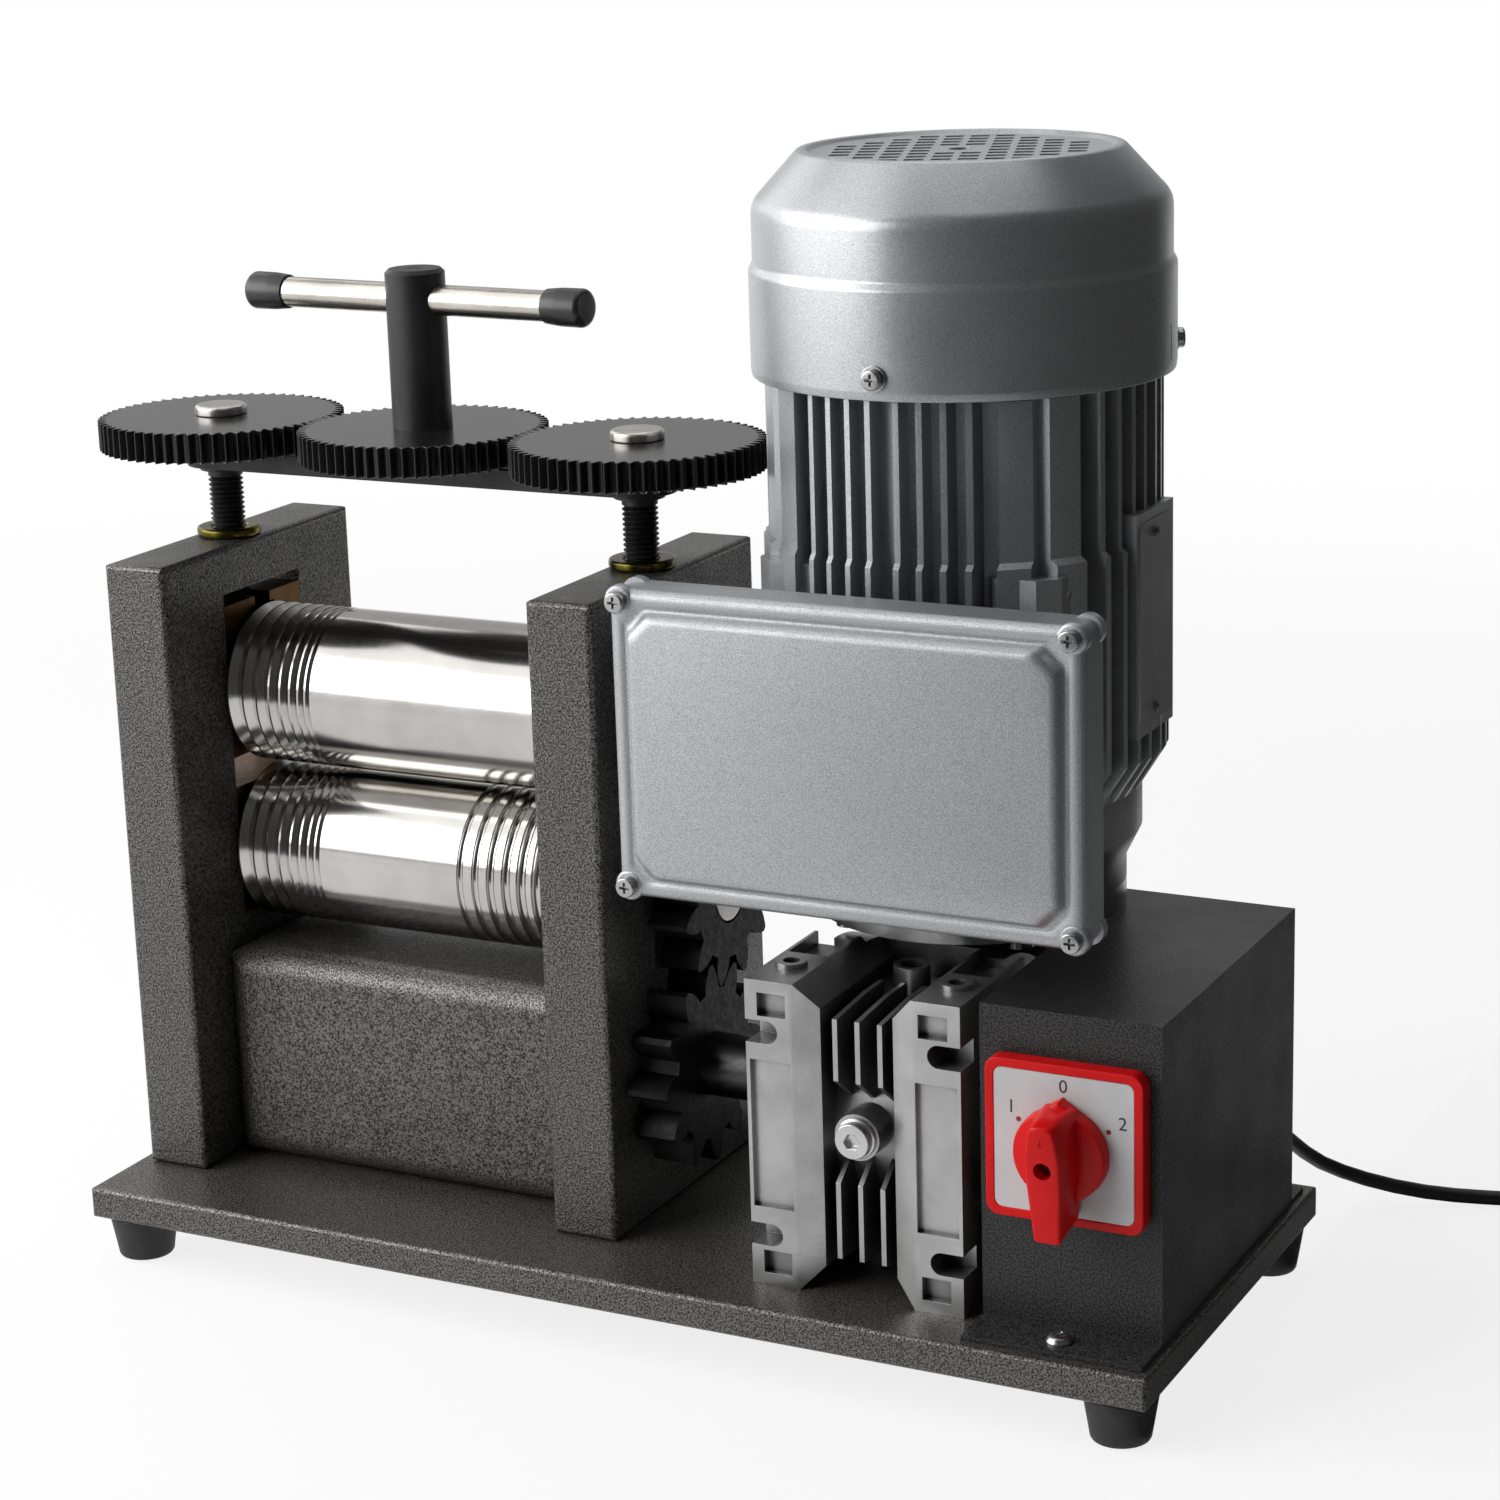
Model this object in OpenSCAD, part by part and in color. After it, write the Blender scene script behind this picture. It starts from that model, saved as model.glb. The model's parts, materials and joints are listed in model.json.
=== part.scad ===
// Electric rolling mill for the bench: two grooved rolls between steel cheeks, set by a T-handle and
// three spur gears, and driven by a motor that stands on a worm gearbox.
// Millimetres. X runs along the rolls, Y towards the back, Z up from the floor.

/* [Base and feet] */
// Thickness of the base plate
base_t = 13; // [10:1:18]
// Depth of the base plate
base_d = 192; // [186:1:210]
// Reach of the base plate in front of the roll axis
base_front = 100; // [98:1:106]
// Base plate left free beyond the left cheek
stand_margin = 5.8; // [3:0.2:15]
// Base plate left free beyond the switch box
box_margin = 3.3; // [2:0.1:15]
// Rounding of the base plate's edges
base_round = 2; // [1:0.5:4]
// Height of the rubber feet
foot_h = 18; // [14:1:26]
// Diameter of a foot under the base plate
foot_top_d = 28; // [24:1:30]
// Diameter of a foot on the floor
foot_floor_d = 22; // [18:1:24]
// Distance of the feet from the edges of the base plate
foot_inset = 15; // [15:1:24]

/* [Roll stand] */
// Clear width between the cheeks
cheek_gap = 164; // [150:1:180]
// Thickness of a cheek
cheek_t = 28; // [24:1:34]
// Depth of a cheek
cheek_d = 133; // [120:1:145]
// Height of a cheek above the upper roll's axis
cheek_above = 60; // [56:1:72]
// Rounding of the cheeks' edges
cheek_round = 2.5; // [1:0.5:5]
// Depth of the spacer block
spacer_d = 91; // [70:1:110]
// Rounding of the spacer block's edges
spacer_round = 11; // [6:0.5:16]
// Air between the spacer block and the lower roll
spacer_gap = 3; // [3:0.5:12]
// Width of the window that holds the bearing blocks
window_w = 54; // [50:1:62]
// Half height of a bearing block below its journal axis
block_below = 27; // [25:0.5:29]
// Height of an upper block above its journal axis
block_above = 36; // [34:0.5:38]

/* [Rolls] */
// Diameter of the rolls
roll_d = 65; // [60:1:72]
// Air between a roll's end and the cheek
roll_end_gap = 2; // [1:0.5:4]
// Gap between the rolls at rest
roll_gap = 1.5; // [1.3:0.1:3]
// How far the upper roll lifts from rest
roll_lift = 4; // [2:0.5:5]
// Diameter of the journals
journal_d = 36; // [32:1:40]
// Diameter of the gear seat at the right end of each roll
seat_d = 26; // [22:1:30]
// Depth of the largest square-wire groove
vee_depth = 3.2; // [2.6:0.1:3.6]
// Change of depth from one square-wire groove to the next
vee_step = 0.32; // [0.2:0.02:0.34]
// Radius of the largest half-round groove
round_first = 2.9; // [2:0.1:3]
// Change of radius from one half-round groove to the next
round_step = 0.2; // [0.1:0.02:0.22]
// Pitch of the half-round grooves
round_pitch = 7; // [6.5:0.1:8]

/* [Gears] */
// Teeth of each roll gear
roll_teeth = 11; // [11:1:12]
// Teeth of the drive gear
drive_teeth = 12; // [12:1:13]
// Width of the roll gears and the drive gear
gear_w = 17; // [14:1:20]
// Air between the roll gears and the right cheek
gear_gap = 2.8; // [1.5:0.1:5]
// Teeth of each screw-down gear
screw_teeth = 64; // [56:4:72]
// Thickness of the screw-down gears
screw_gear_t = 12; // [9:0.5:15]

/* [Screw-down] */
// Outer diameter of the screw's thread
screw_d = 14; // [12:0.5:16]
// Pitch of the screw's thread
screw_pitch = 2; // [1.5:0.25:2.5]
// Diameter of the bronze nut's flange
nut_flange_d = 26; // [25:1:30]
// Air between the cheeks' tops and the link bar
link_rise = 29.5; // [24:0.5:36]
// Thickness of the link bar
link_t = 8; // [6:0.5:12]
// Width of the link bar
link_w = 30; // [26:1:38]
// Diameter of the steel caps on the screw gears
cap_d = 21; // [18:1:26]
// Thickness of the steel caps
cap_t = 4; // [3:0.5:6]
// Diameter of the handle post
post_d = 23.5; // [21:0.5:28]
// Height of the handle post above the gear
post_h = 62; // [50:1:75]
// Diameter of the handle bar
bar_d = 12; // [10:0.5:14]
// Length of the handle bar without its caps
bar_len = 150; // [120:2:158]
// Turn of the handle bar at rest
bar_turn = -4; // [-30:1:30]
// Diameter of the bar caps
bar_cap_d = 15; // [15:0.5:18]
// Length of the bar caps
bar_cap_len = 18; // [14:1:24]

/* [Gearbox] */
// Width of the gearbox
reducer_w = 86; // [84:1:96]
// Height of the gearbox
reducer_h = 120; // [118:1:124]
// Distance of the gearbox from the right cheek
drive_gap = 64.8; // [58:0.2:75]
// Distance of the output axis in front of the roll axis
drive_offset = 18; // [14:0.5:22]
// Distance from the gearbox's front face to its output axis
reducer_foot = 60; // [59:0.5:64]
// Distance from the output axis to the worm axis
worm_centre = 50; // [48:1:54]
// Teeth of the worm wheel
wheel_teeth = 30; // [30:1:30]
// Face width of the worm wheel
wheel_face = 16; // [12:1:18]
// Diameter of the output shaft
shaft_d = 25; // [22:1:26]
// Width of the four corner pads
pad_w = 19.5; // [18:0.5:21]
// Height of the four corner pads
pad_h = 31; // [30:0.5:36]
// Distance between the upper and the lower slots
slot_pitch = 80; // [78:1:82]
// Width of the slots
slot_w = 8.8; // [8:0.1:9.4]
// Depth of the finned channel in the front face
channel_d = 15; // [12:0.5:15.5]
// Pitch of the fins in the channel
reducer_fin_pitch = 9; // [8:0.25:10]
// Thickness of the motor flange on the gearbox
flange_t = 10; // [8:0.5:14]
// Radius of the motor flange on the gearbox
flange_r = 60; // [57:0.5:62]

/* [Motor] */
// Radius of the bare motor frame
frame_r = 66; // [65:0.5:68]
// Radius over the fins
fin_r = 75; // [73:0.5:76]
// Thickness of a cooling fin
fin_t = 2.25; // [2:0.25:4]
// Pitch of the cooling fins
fin_pitch = 8.5; // [7.5:0.25:9]
// Height of the finned frame
frame_h = 162; // [155:1:180]
// Height of the drive end shield
shield_h = 38; // [36:1:44]
// Radius of the motor shaft in the gearbox
motor_shaft_r = 9.5; // [9:0.1:9.6]
// Largest radius of the fan cover
cover_r = 79; // [78:0.5:84]
// Height of the fan cover
cover_h = 82; // [76:1:95]
// Wall of the fan cover
cover_wall = 1.5; // [1:0.1:2]
// Radius of the fan cover's flat top
cover_top_r = 60; // [55:1:66]

/* [Terminal box] */
// Width of the terminal cover
terminal_w = 184; // [178:1:190]
// Height of the terminal cover
terminal_h = 116; // [111:1:120]
// Distance from the motor axis to the terminal cover's screw plane
terminal_reach = 113; // [110:1:118]
// Depth of the terminal cover
terminal_cover_d = 14; // [12:0.5:16]
// Height of the cover's raised panel
panel_h = 4; // [2:0.5:6]

/* [Switch box] */
// Width of the switch box
box_w = 69.4; // [66:0.2:80]
// Depth of the switch box
box_d = 144; // [130:1:150]
// Height of the switch box
box_h = 121.5; // [110:0.5:140]
// Distance of the switch box from the gearbox
box_gap = 5.7; // [3:0.1:15]
// Distance of the switch box from the base plate's front edge
box_set_back = 26; // [23:0.5:30]
// Wall of the switch box
box_wall = 1.5; // [1:0.1:2.5]
// Width of the switch plate
plate_w = 60; // [54:1:64]
// Thickness of the switch plate
plate_t = 7; // [5:0.5:9]
// Height of the switch plate's centre above the base plate
plate_z = 74.6; // [60:0.2:80]
// Drop of the knob's axis below the centre of the plate
knob_drop = 2.2; // [0:0.2:6]
// Diameter of the knob's disc
knob_d = 36; // [32:1:40]
// Height of the knob
knob_h = 22; // [18:1:26]

/* [Cord] */
// Diameter of the mains cord
cord_d = 6; // [5.6:0.1:6]
// Height of the gland above the base plate
gland_rise = 17; // [14:1:22]
// Turns in the put-away coil
coil_turns = 6.25; // [6.25:1:7.25]
// Smallest radius of the coil
coil_inner = 24.5; // [24:0.5:26]

/* [Hidden] */
$fn = 48;

// Clearances
seat_fit = 0.02;
running_fit = 0.05;
sliding_fit = 0.15;
turning_gap = 0.3;
cut = 1;

// Fasteners: M8 socket screws under the base
bolt_r = 4;
bolt_head_r = 6.5;
bolt_head_h = 8;
bolt_bite = 16;
bolt_clear = 0.2;
bolt_recess = 1;
socket_share = 0.8;

// Places along X
stand_w = cheek_gap + 2 * cheek_t;
base_w = stand_margin + stand_w + drive_gap + reducer_w + box_gap + box_w + box_margin;
mill_x = -base_w / 2 + stand_margin + stand_w / 2;
cheek_x = (cheek_gap + cheek_t) / 2;
right_face = mill_x + stand_w / 2;
gear_x = right_face + gear_gap;
reducer_x = right_face + drive_gap;
motor_x = reducer_x + reducer_w / 2;
box_x = reducer_x + reducer_w + box_gap;
box_mid_x = box_x + box_w / 2;

// Heights
deck_z = foot_h + base_t;
output_z = deck_z + reducer_h / 2;
roll_module = roll_d / roll_teeth;
mesh_slack = 0.05;
drive_mesh = roll_module * (roll_teeth + drive_teeth) / 2 + mesh_slack;
lower_z = output_z + sqrt(drive_mesh * drive_mesh - drive_offset * drive_offset);
upper_z = lower_z + roll_d + roll_gap;
cheek_h = upper_z + cheek_above - deck_z;
cheek_top = deck_z + cheek_h;
spacer_h = lower_z - roll_d / 2 - spacer_gap - deck_z;
block_top = upper_z + block_above;
window_top_gap = 1;
window_low = lower_z - block_below;
window_high = block_top + roll_lift + window_top_gap;
link_z = cheek_top + link_rise;
screw_gear_z = link_z + link_t + turning_gap;
screw_gear_top = screw_gear_z + screw_gear_t;
post_top = screw_gear_top + post_h;
bar_drop = 12;
bar_z = post_top - bar_drop;
flange_rise = 4;
flange_top = deck_z + reducer_h + flange_t + flange_rise;
frame_z = flange_top + shield_h;
frame_top = frame_z + frame_h;
cover_lap = 4;
cover_z = frame_top - cover_lap;
cover_top = cover_z + cover_h;

// Places along Y, measured from the roll axis
output_y = -drive_offset;
reducer_y = output_y - reducer_foot;
motor_y = output_y + worm_centre;
base_mid_y = base_d / 2 - base_front;
box_y = -base_front + box_set_back;
box_back = box_y + box_d;
plate_front = box_y - plate_t;
knob_gap = 0.4;
knob_front = plate_front - knob_gap - knob_h;
origin_y = (knob_front + motor_y + cover_r) / 2;

// Middle of the machine between the left screw gear and the base plate's right edge
screw_module = cheek_x / screw_teeth;
screw_gear_r = cheek_x / 2 + screw_module;
origin_x = (mill_x - cheek_x - screw_gear_r + base_w / 2) / 2;

// Grooves of the rolls
vee_count = 8;
vee_margin = 1.2;
vee_land = 0.8;
round_count = 8;
round_margin = 5;
roll_len = cheek_gap - 2 * roll_end_gap;
roll_chamfer = 0.6;

// Roll gears and drive gear
gear_pressure = 30;
gear_addendum = 5;
gear_slack = 0.7;
gear_root = roll_d / 2 - gear_addendum - 0.3;
gear_flank_steps = 5;
drive_pitch_r = roll_module * drive_teeth / 2;
drive_addendum = 4.8;
mesh_angle = atan2(output_z - lower_z, output_y);
mesh_fraction = (mesh_angle - 90) * roll_teeth / 360;
drive_phase = mesh_angle + 180 + (180 + 360 * mesh_fraction) / drive_teeth;

// Screw-down gears
screw_slack = 0.5;
screw_pressure = 20;

// Screws
thread_depth = screw_pitch * 0.6;
button_r = screw_d / 2 + 1;
button_h = 4;
neck_r = screw_d / 2 - 2;
neck_h = 4;
button_z = block_top - neck_h - turning_gap - button_h;
collar_r = screw_d / 2 + 3;
collar_h = 2;
collar_gap = 0.1;
spigot_r = screw_d / 2 - 1;
stud_r = 2.5;
stud_len = 8;
nut_r = nut_flange_d / 2 - 3;
nut_flange_h = 4;
pivot_r = post_d / 2 - 3.75;
post_chamfer = 1.5;
dimple_r = 4;
dimple_h = 1.2;
cap_bite = 13;
edge_break = 1;

// Gearbox
flank_w = 9;
flank_d = 4.5;
drum_r = reducer_h / 2 - 2;
inner_drum_r = reducer_foot - channel_d;
mitre_h = 9.4;
cavity_r = 41;
cover_plate_r = 51;
cover_plate_t = 6;
cover_side = 2;
spigot_len = 13;
seal_r = 26;
hub_r = 20;
bearing_r = 34;
bearing_seat = cover_plate_t - 1;
bearing_w = spigot_len + 1;
cover_screw_r = 46.5;
cover_screw_count = 6;
tube_r = 36;
tube_rise = 5;
channel_back = reducer_foot + worm_centre - tube_r - 2;
worm_lead = PI * 2.5;
wheel_pitch_r = 37.5;
wheel_tip = 40;
wheel_rim = 34.4;
worm_pitch_r = worm_centre - wheel_pitch_r;
worm_core = 9.75;
worm_root = 9.95;
worm_tip = worm_pitch_r + 2.5;
worm_turns = 4;
worm_steps = 24;
tip_half = 0.69;
worm_foot_half = 2.55;
wheel_foot_half = 2.75;
lead_angle = atan(worm_lead / (2 * PI * worm_pitch_r));
worm_z = reducer_h / 2;
low_bearing_z = 14;
low_bearing_r = 20;
low_bearing_w = 12;
low_journal_r = 8.5;
low_journal_drop = 8;
top_bearing_z = reducer_h - 22;
top_bearing_r = 31;
top_bearing_w = 14;
top_journal_r = 17.5;
top_journal_z = worm_z + 24;
worm_end = 4;
worm_rise = 6;
worm_top = reducer_h + worm_rise;
socket_floor = 4;
key_w = 8;
key_depth = 4;
key_rise = 3;
key_len = 30;
slot_end = 13;
slot_depth = 12;
pocket_w = 11.5;
pocket_h = 9;
pocket_d = 4;
pocket_lip = 1.8;
strip_d = 2.5;
strip_lip = 1.5;
reducer_fin_t = 2;
reducer_fin_front = 5;
reducer_fin_edge = 13;
reducer_fin_back = 46;
reducer_fin_gap = 20;
reducer_fin_slant = 10;
breather_y = 54;
breather_r = 7;
breather_hole_r = 4.5;
breather_top = reducer_h - 6;
breather_depth = 9;
wall_pocket_y = 34;
wall_pocket_d = 5;
plug_z = 63;
plug_r = 6.8;
plug_boss_r = 9;
plug_face = 3;
plug_bore = 10;
plug_thread_r = plug_r - 2;
plug_head_h = 5;
plug_washer_h = 1.5;
plug_washer_r = plug_r + 1;
plug_socket_r = 3;
boss_r = 6;
boss_h = 2;
boss_hole_r = 3.2;
boss_hole_h = 8;
reducer_bolt_front = 20;
reducer_bolt_inset = 10;
reducer_bolt_back = 14;
reducer_bolt_half = 24;
motor_bolt_pcd_r = 50;
motor_bolt_r = 3;
motor_bolt_head_r = 5;
motor_bolt_head_h = 5;
motor_bolt_bite = 8;

// Motor
fins_per_side = 8;
fin_centre_gap = 11;
shield_flange_h = 9;
shield_taper_h = 12;
shield_r = frame_r;
frame_bore = 60;
frame_lap = 4;
shield_bore = 54;
shield_floor = 12;
bearing_boss_r = 28;
bevel_h = 16;
fin_step = 1;
corner_near = 40;
corner_far = 50;
corner_reach = 60;
lug_near = 36;
lug_far = 53;
lug_top = 93;
lug_h = 22;
name_pad_half = 19;
name_pad_low = 26;
name_pad_high = 110;
pad_half_w = 30;
pad_low = 4;
pad_high = 68;
terminal_depth = 21;
pad_front = terminal_reach - terminal_cover_d - terminal_depth;
motor_bearing_r = 23.5;
motor_bearing_w = 14;
bearing_shaft_r = 10;
shaft_step = 6;
shaft_gap = 2;
rotor_gap = 5;
air_gap = 0.6;
rotor_r = 35.2;
core_h = 100;
core_lift = 28;
winding_near = 40;
winding_far = 56;
winding_h = 16;
rear_h = 12;
rear_plate_h = 8;
rear_hub_r = 30;
rear_lug_w = 14;
rear_lug_reach = sqrt(pow(cover_r - cover_wall, 2) - pow(rear_lug_w / 2, 2)) - seat_fit;
fan_r = 58;
fan_hub_r = 14;
fan_bore = 9;
fan_z = 16;
fan_disc_t = 2.5;
fan_blade_h = 20;
fan_hub_h = 20;
fan_disc_z = 2;
fan_blade_t = 2;
fan_blades = 8;
cover_ridge_h = 40;
cover_step = 1.5;
cover_shoulder_h = 63;
cover_rim_w = 2;
dish_r = 54.5;
dish_d = 1.6;
grille_half = 5;
grille_reach = 6;
grille_pitch_x = 9.6;
grille_pitch_y = 10.4;
grille_slot_w = 7.4;
grille_slot_h = 5.8;
grille_hub_r = 9;
grille_hole_r = 4.5;
grille_turn = 20;
small_screw_r = 2;
small_head_r = 3.8;
small_head_h = 2.6;
small_washer_r = 4.8;
small_washer_h = 1;
small_bite = 8;

// Terminal box
terminal_lift = 33;
terminal_z = frame_z + terminal_lift;
terminal_screw_inset = 4.3;
screw_half_w = terminal_w / 2 - terminal_screw_inset;
screw_half_h = terminal_h / 2 - terminal_screw_inset;
screw_boss_r = 5.8;
terminal_round = 6;
terminal_wall = 3;
terminal_flange_t = 4;
terminal_step_w = 17;
terminal_step_h = 13;
terminal_body_w = terminal_w - 2 * terminal_step_w;
terminal_body_h = terminal_h - 2 * terminal_step_h;
terminal_head_h = 4;
panel_inset = 8;
panel_cut = 8;
capacitor_r = 13.5;
capacitor_len = 60;

// Switch box
front_flange = 20.8;
back_flange = 14;
box_flange_t = 2;
switch_hole_r = 12;
switch_body_w = 44;
switch_body_d = 46;
plate_round = 5;
dial_w = plate_w - 7;
dial_round = 3;
dial_d = 1.2;
knob_disc_h = 6;
knob_shaft_r = 4;
knob_shaft_len = 14;
knob_tip = 20;
knob_tail = 29;
knob_tail_w = 10.5;
knob_grip_w = 13;
knob_shoulder = 0.65 * knob_tip;
box_screw_r = 2.5;
box_screw_head_r = 5;
box_screw_head_h = 3;
box_screw_bite = 8;
box_screw_y = 12;

// Cord
cord_r = cord_d / 2;
gland_x = box_x + 48.2;
gland_z = deck_z + gland_rise;
gland_nut_r = 11;
gland_nut_h = 6;
gland_r = 8;
gland_inside = 8;
gland_taper = 20;
gland_tip_r = 4.4;
gland_end = [gland_x, box_back + gland_nut_h + gland_taper, gland_z];
coil_pitch = 6.7;
tie_t = 1;
tie_gap = 0.3;
tie_w = 12;
coil_centre = [344, 133];
coil_z = cord_r + tie_t + tie_gap;
coil_outer = coil_inner + coil_pitch * coil_turns / 2;
coil_sides = 6;
coil_rings = 24;
cord_sides = 8;
coil_top = coil_z + coil_pitch;
coil_tail = 3.5 * cord_d;
plug_body_r = coil_top;
plug_body_len = 32;
plug_neck_r = cord_r + 1.4;
plug_relief_r = 0.6 * plug_body_r;
plug_relief = 18;
pin_len = 18;
pin_w = 6;
pin_t = 1.6;
pin_half = 6;

// Route of the cord from the gland to the coil
cord_route = concat(
  [gland_end, gland_end + [0, cord_d, 0]],
  [[203.4, 108, 46.4], [204.4, 115, 42], [206.6, 122.5, 35.5], [210, 129, 29], [215, 136, 22.5],
   [222, 143, 17], [230, 149.5, 12.5], [240, 156, 8.5], [251, 162, 5.5], [262, 167, 3.8],
   [273, 171, 3.1], [286, 174.4, 3], [300, 176.6, 3.2], [316, 178, 3.7], [329, 178.4, 4.1]],
  [coil_start() - [cord_d, 0, 0], coil_start()]);

function coil_start() = [coil_centre.x, coil_centre.y + coil_outer, coil_z];
// A point of the coil, counted in turns from the turn where the spiral reverses
function coil_point(turn) =
  let (r = coil_inner + coil_pitch * abs(turn),
       a = 90 - 360 * (turn + coil_turns / 2),
       climb = min(1, max(0, (turn + 0.25) / 0.5)))
  [coil_centre.x + r * cos(a), coil_centre.y + r * sin(a), coil_z + coil_pitch * climb];
coil_steps = round(coil_turns * coil_rings);
coil_loops = [for (i = [0 : coil_steps]) coil_point(coil_turns * (i / coil_steps - 0.5))];
coil_end = coil_loops[coil_steps];
plug_start = coil_end - [0, coil_tail, 0];
coil_path = concat(coil_loops, [coil_end - [0, cord_d, 0], plug_start]);
half_loop = coil_rings / 2;
coil_gap = min([for (i = [0 : coil_steps - half_loop], j = [i + half_loop : coil_steps])
  norm(coil_loops[i] - coil_loops[j])]) - cord_d;
echo(coil_self_gap = coil_gap);

// A tube of flat sides along a path
function path_way(path, i) =
  let (last = len(path) - 1, d = path[min(i + 1, last)] - path[max(i - 1, 0)])
  d / norm(d);
function tube_points(path, r, sides) =
  [for (i = [0 : len(path) - 1])
    let (way = path_way(path, i),
         flat = cross(way, [0, 0, 1]),
         side = flat / norm(flat),
         up = cross(side, way))
    for (k = [0 : sides - 1]) path[i] + r * (cos(360 * k / sides) * side + sin(360 * k / sides) * up)];
function tube_faces(rings, sides) = concat(
  [for (i = [0 : rings - 2], k = [0 : sides - 1], half = [0, 1])
    let (a = i * sides + k, b = i * sides + (k + 1) % sides)
    half == 0 ? [a, a + sides, b] : [b, a + sides, b + sides]],
  [for (k = [1 : sides - 2]) [0, k, k + 1]],
  [for (k = [1 : sides - 2]) let (e = (rings - 1) * sides) [e, e + k + 1, e + k]]);
module tube(path, r, sides) polyhedron(tube_points(path, r, sides), tube_faces(len(path), sides));

// Rounded outlines and blocks
module rounded_rect(a, b, r) {
  square([a - 2 * r, b], center = true);
  square([a, b - 2 * r], center = true);
  for (sx = [-1, 1], sy = [-1, 1]) translate([sx * (a / 2 - r), sy * (b / 2 - r)]) circle(r);
}
module prism(a, b, h, r) linear_extrude(h) rounded_rect(a, b, r);
module soft_block(a, b, h, r) intersection() {
  prism(a, b, h, r);
  translate([0, b / 2, h / 2]) rotate([90, 0, 0]) prism(a, h, b, r);
  translate([-a / 2, 0, h / 2]) rotate([90, 0, 90]) prism(b, h, a, r);
}
module box(x, y, z) translate([x[0], y[0], z[0]]) cube([x[1] - x[0], y[1] - y[0], z[1] - z[0]]);
module along_x(x0, x1, r) translate([x0, 0, 0]) rotate([0, 90, 0]) cylinder(r = r, h = x1 - x0);
module along_y(y0, y1, r) translate([0, y1, 0]) rotate([90, 0, 0]) cylinder(r = r, h = y1 - y0);
module ring(inner, outer, z0, z1) translate([0, 0, z0]) linear_extrude(z1 - z0) difference() {
  circle(outer);
  circle(inner);
}
module turned(points) rotate_extrude() polygon(points);

// Spur gear outlines with involute flanks
function involute(a) = tan(a) * 180 / PI - a;
function tooth_angle(r, teeth, pitch_r, pressure, slack) =
  90 / teeth - slack / pitch_r * 90 / PI + involute(pressure)
  - involute(acos(min(1, pitch_r * cos(pressure) / r)));
function gear_outline(teeth, pitch_r, pressure, tip_r, root_r, slack, steps) =
  let (base_r = pitch_r * cos(pressure),
       low = max(root_r, base_r),
       radii = concat(root_r < base_r ? [root_r] : [],
         [for (i = [0 : steps]) low + (tip_r - low) * i / steps]),
       last = len(radii) - 1)
  [for (k = [0 : teeth - 1], side = [-1, 1], j = [0 : last])
    let (r = radii[side < 0 ? j : last - j],
         a = 360 * k / teeth + side * tooth_angle(max(r, base_r), teeth, pitch_r, pressure, slack))
    [r * cos(a), r * sin(a)]];

module at_mill() translate([mill_x, 0, 0]) children();
module at_screw(side) translate([mill_x + side * cheek_x, 0, 0]) children();
module at_reducer() translate([reducer_x, reducer_y, deck_z]) children();
module at_output() translate([reducer_x, output_y, output_z]) children();
module at_motor() translate([motor_x, motor_y, 0]) children();

// Bolts that come up through the base plate
base_bolt_places = concat(
  [for (side = [-1, 1], end = [-1, 1]) [mill_x + side * cheek_x, end * cheek_d / 3]],
  [for (side = [-1, 1]) [mill_x + side * cheek_gap / 4, 0]],
  [for (side = [-1, 1])
    [motor_x + side * (reducer_w / 2 - reducer_bolt_inset), reducer_y + reducer_bolt_front]],
  [for (side = [-1, 1]) [motor_x + side * reducer_bolt_half, motor_y + reducer_bolt_back]]);
module bolt_holes() for (p = base_bolt_places) translate([p.x, p.y, deck_z - cut])
  cylinder(r = bolt_r + bolt_clear, h = bolt_bite + 2 * cut);
foot_places = [for (sx = [-1, 1], sy = [-1, 1])
  [sx * (base_w / 2 - foot_inset), base_mid_y + sy * (base_d / 2 - foot_inset)]];
foot_plug_r = 5;
foot_plug_h = base_t - 4;

module base_plate() color("#3a3a3c") difference() {
  translate([0, base_mid_y, foot_h]) soft_block(base_w, base_d, base_t, base_round);
  bolt_holes();
  for (p = base_bolt_places) translate([p.x, p.y, 0]) {
    translate([0, 0, foot_h - cut]) cylinder(r = bolt_r + bolt_clear, h = base_t + 2 * cut);
    translate([0, 0, foot_h - cut])
      cylinder(r = bolt_head_r + bolt_clear, h = bolt_recess + bolt_head_h + cut);
  }
  for (p = foot_places) translate([p.x, p.y, foot_h - cut]) cylinder(r = foot_plug_r, h = foot_plug_h + cut);
  for (y = box_screw_rows) translate([box_mid_x, y, deck_z - box_screw_bite])
    cylinder(r = box_screw_r + seat_fit, h = box_screw_bite + cut);
}

module rubber_feet() color("#161616") for (p = foot_places) translate([p.x, p.y, 0]) {
  cylinder(d1 = foot_floor_d, d2 = foot_top_d, h = foot_h);
  translate([0, 0, foot_h - cut]) cylinder(r = foot_plug_r - seat_fit, h = foot_plug_h + cut - seat_fit);
}

module base_bolts() color("#505050") for (p = base_bolt_places)
  translate([p.x, p.y, foot_h + bolt_recess]) difference() {
    union() {
      cylinder(r = bolt_head_r, h = bolt_head_h);
      cylinder(r = bolt_r, h = base_t - bolt_recess + bolt_bite - cut);
    }
    translate([0, 0, -cut]) cylinder(r = bolt_r * socket_share, h = bolt_head_h / 2 + cut, $fn = 6);
  }

module cheek(side) difference() {
  at_screw(side) translate([0, 0, deck_z]) soft_block(cheek_t, cheek_d, cheek_h, cheek_round);
  at_screw(side) box([-cheek_t, cheek_t], [-window_w / 2, window_w / 2], [window_low, window_high]);
  at_screw(side) translate([0, 0, window_high - cut]) cylinder(r = nut_r + seat_fit, h = cheek_h);
  bolt_holes();
}
module left_cheek() color("#333335") cheek(-1);
module right_cheek() color("#333335") cheek(1);

module spacer_block() color("#333335") difference() {
  at_mill() translate([0, 0, deck_z]) soft_block(cheek_gap, spacer_d, spacer_h, spacer_round);
  bolt_holes();
}

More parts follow.
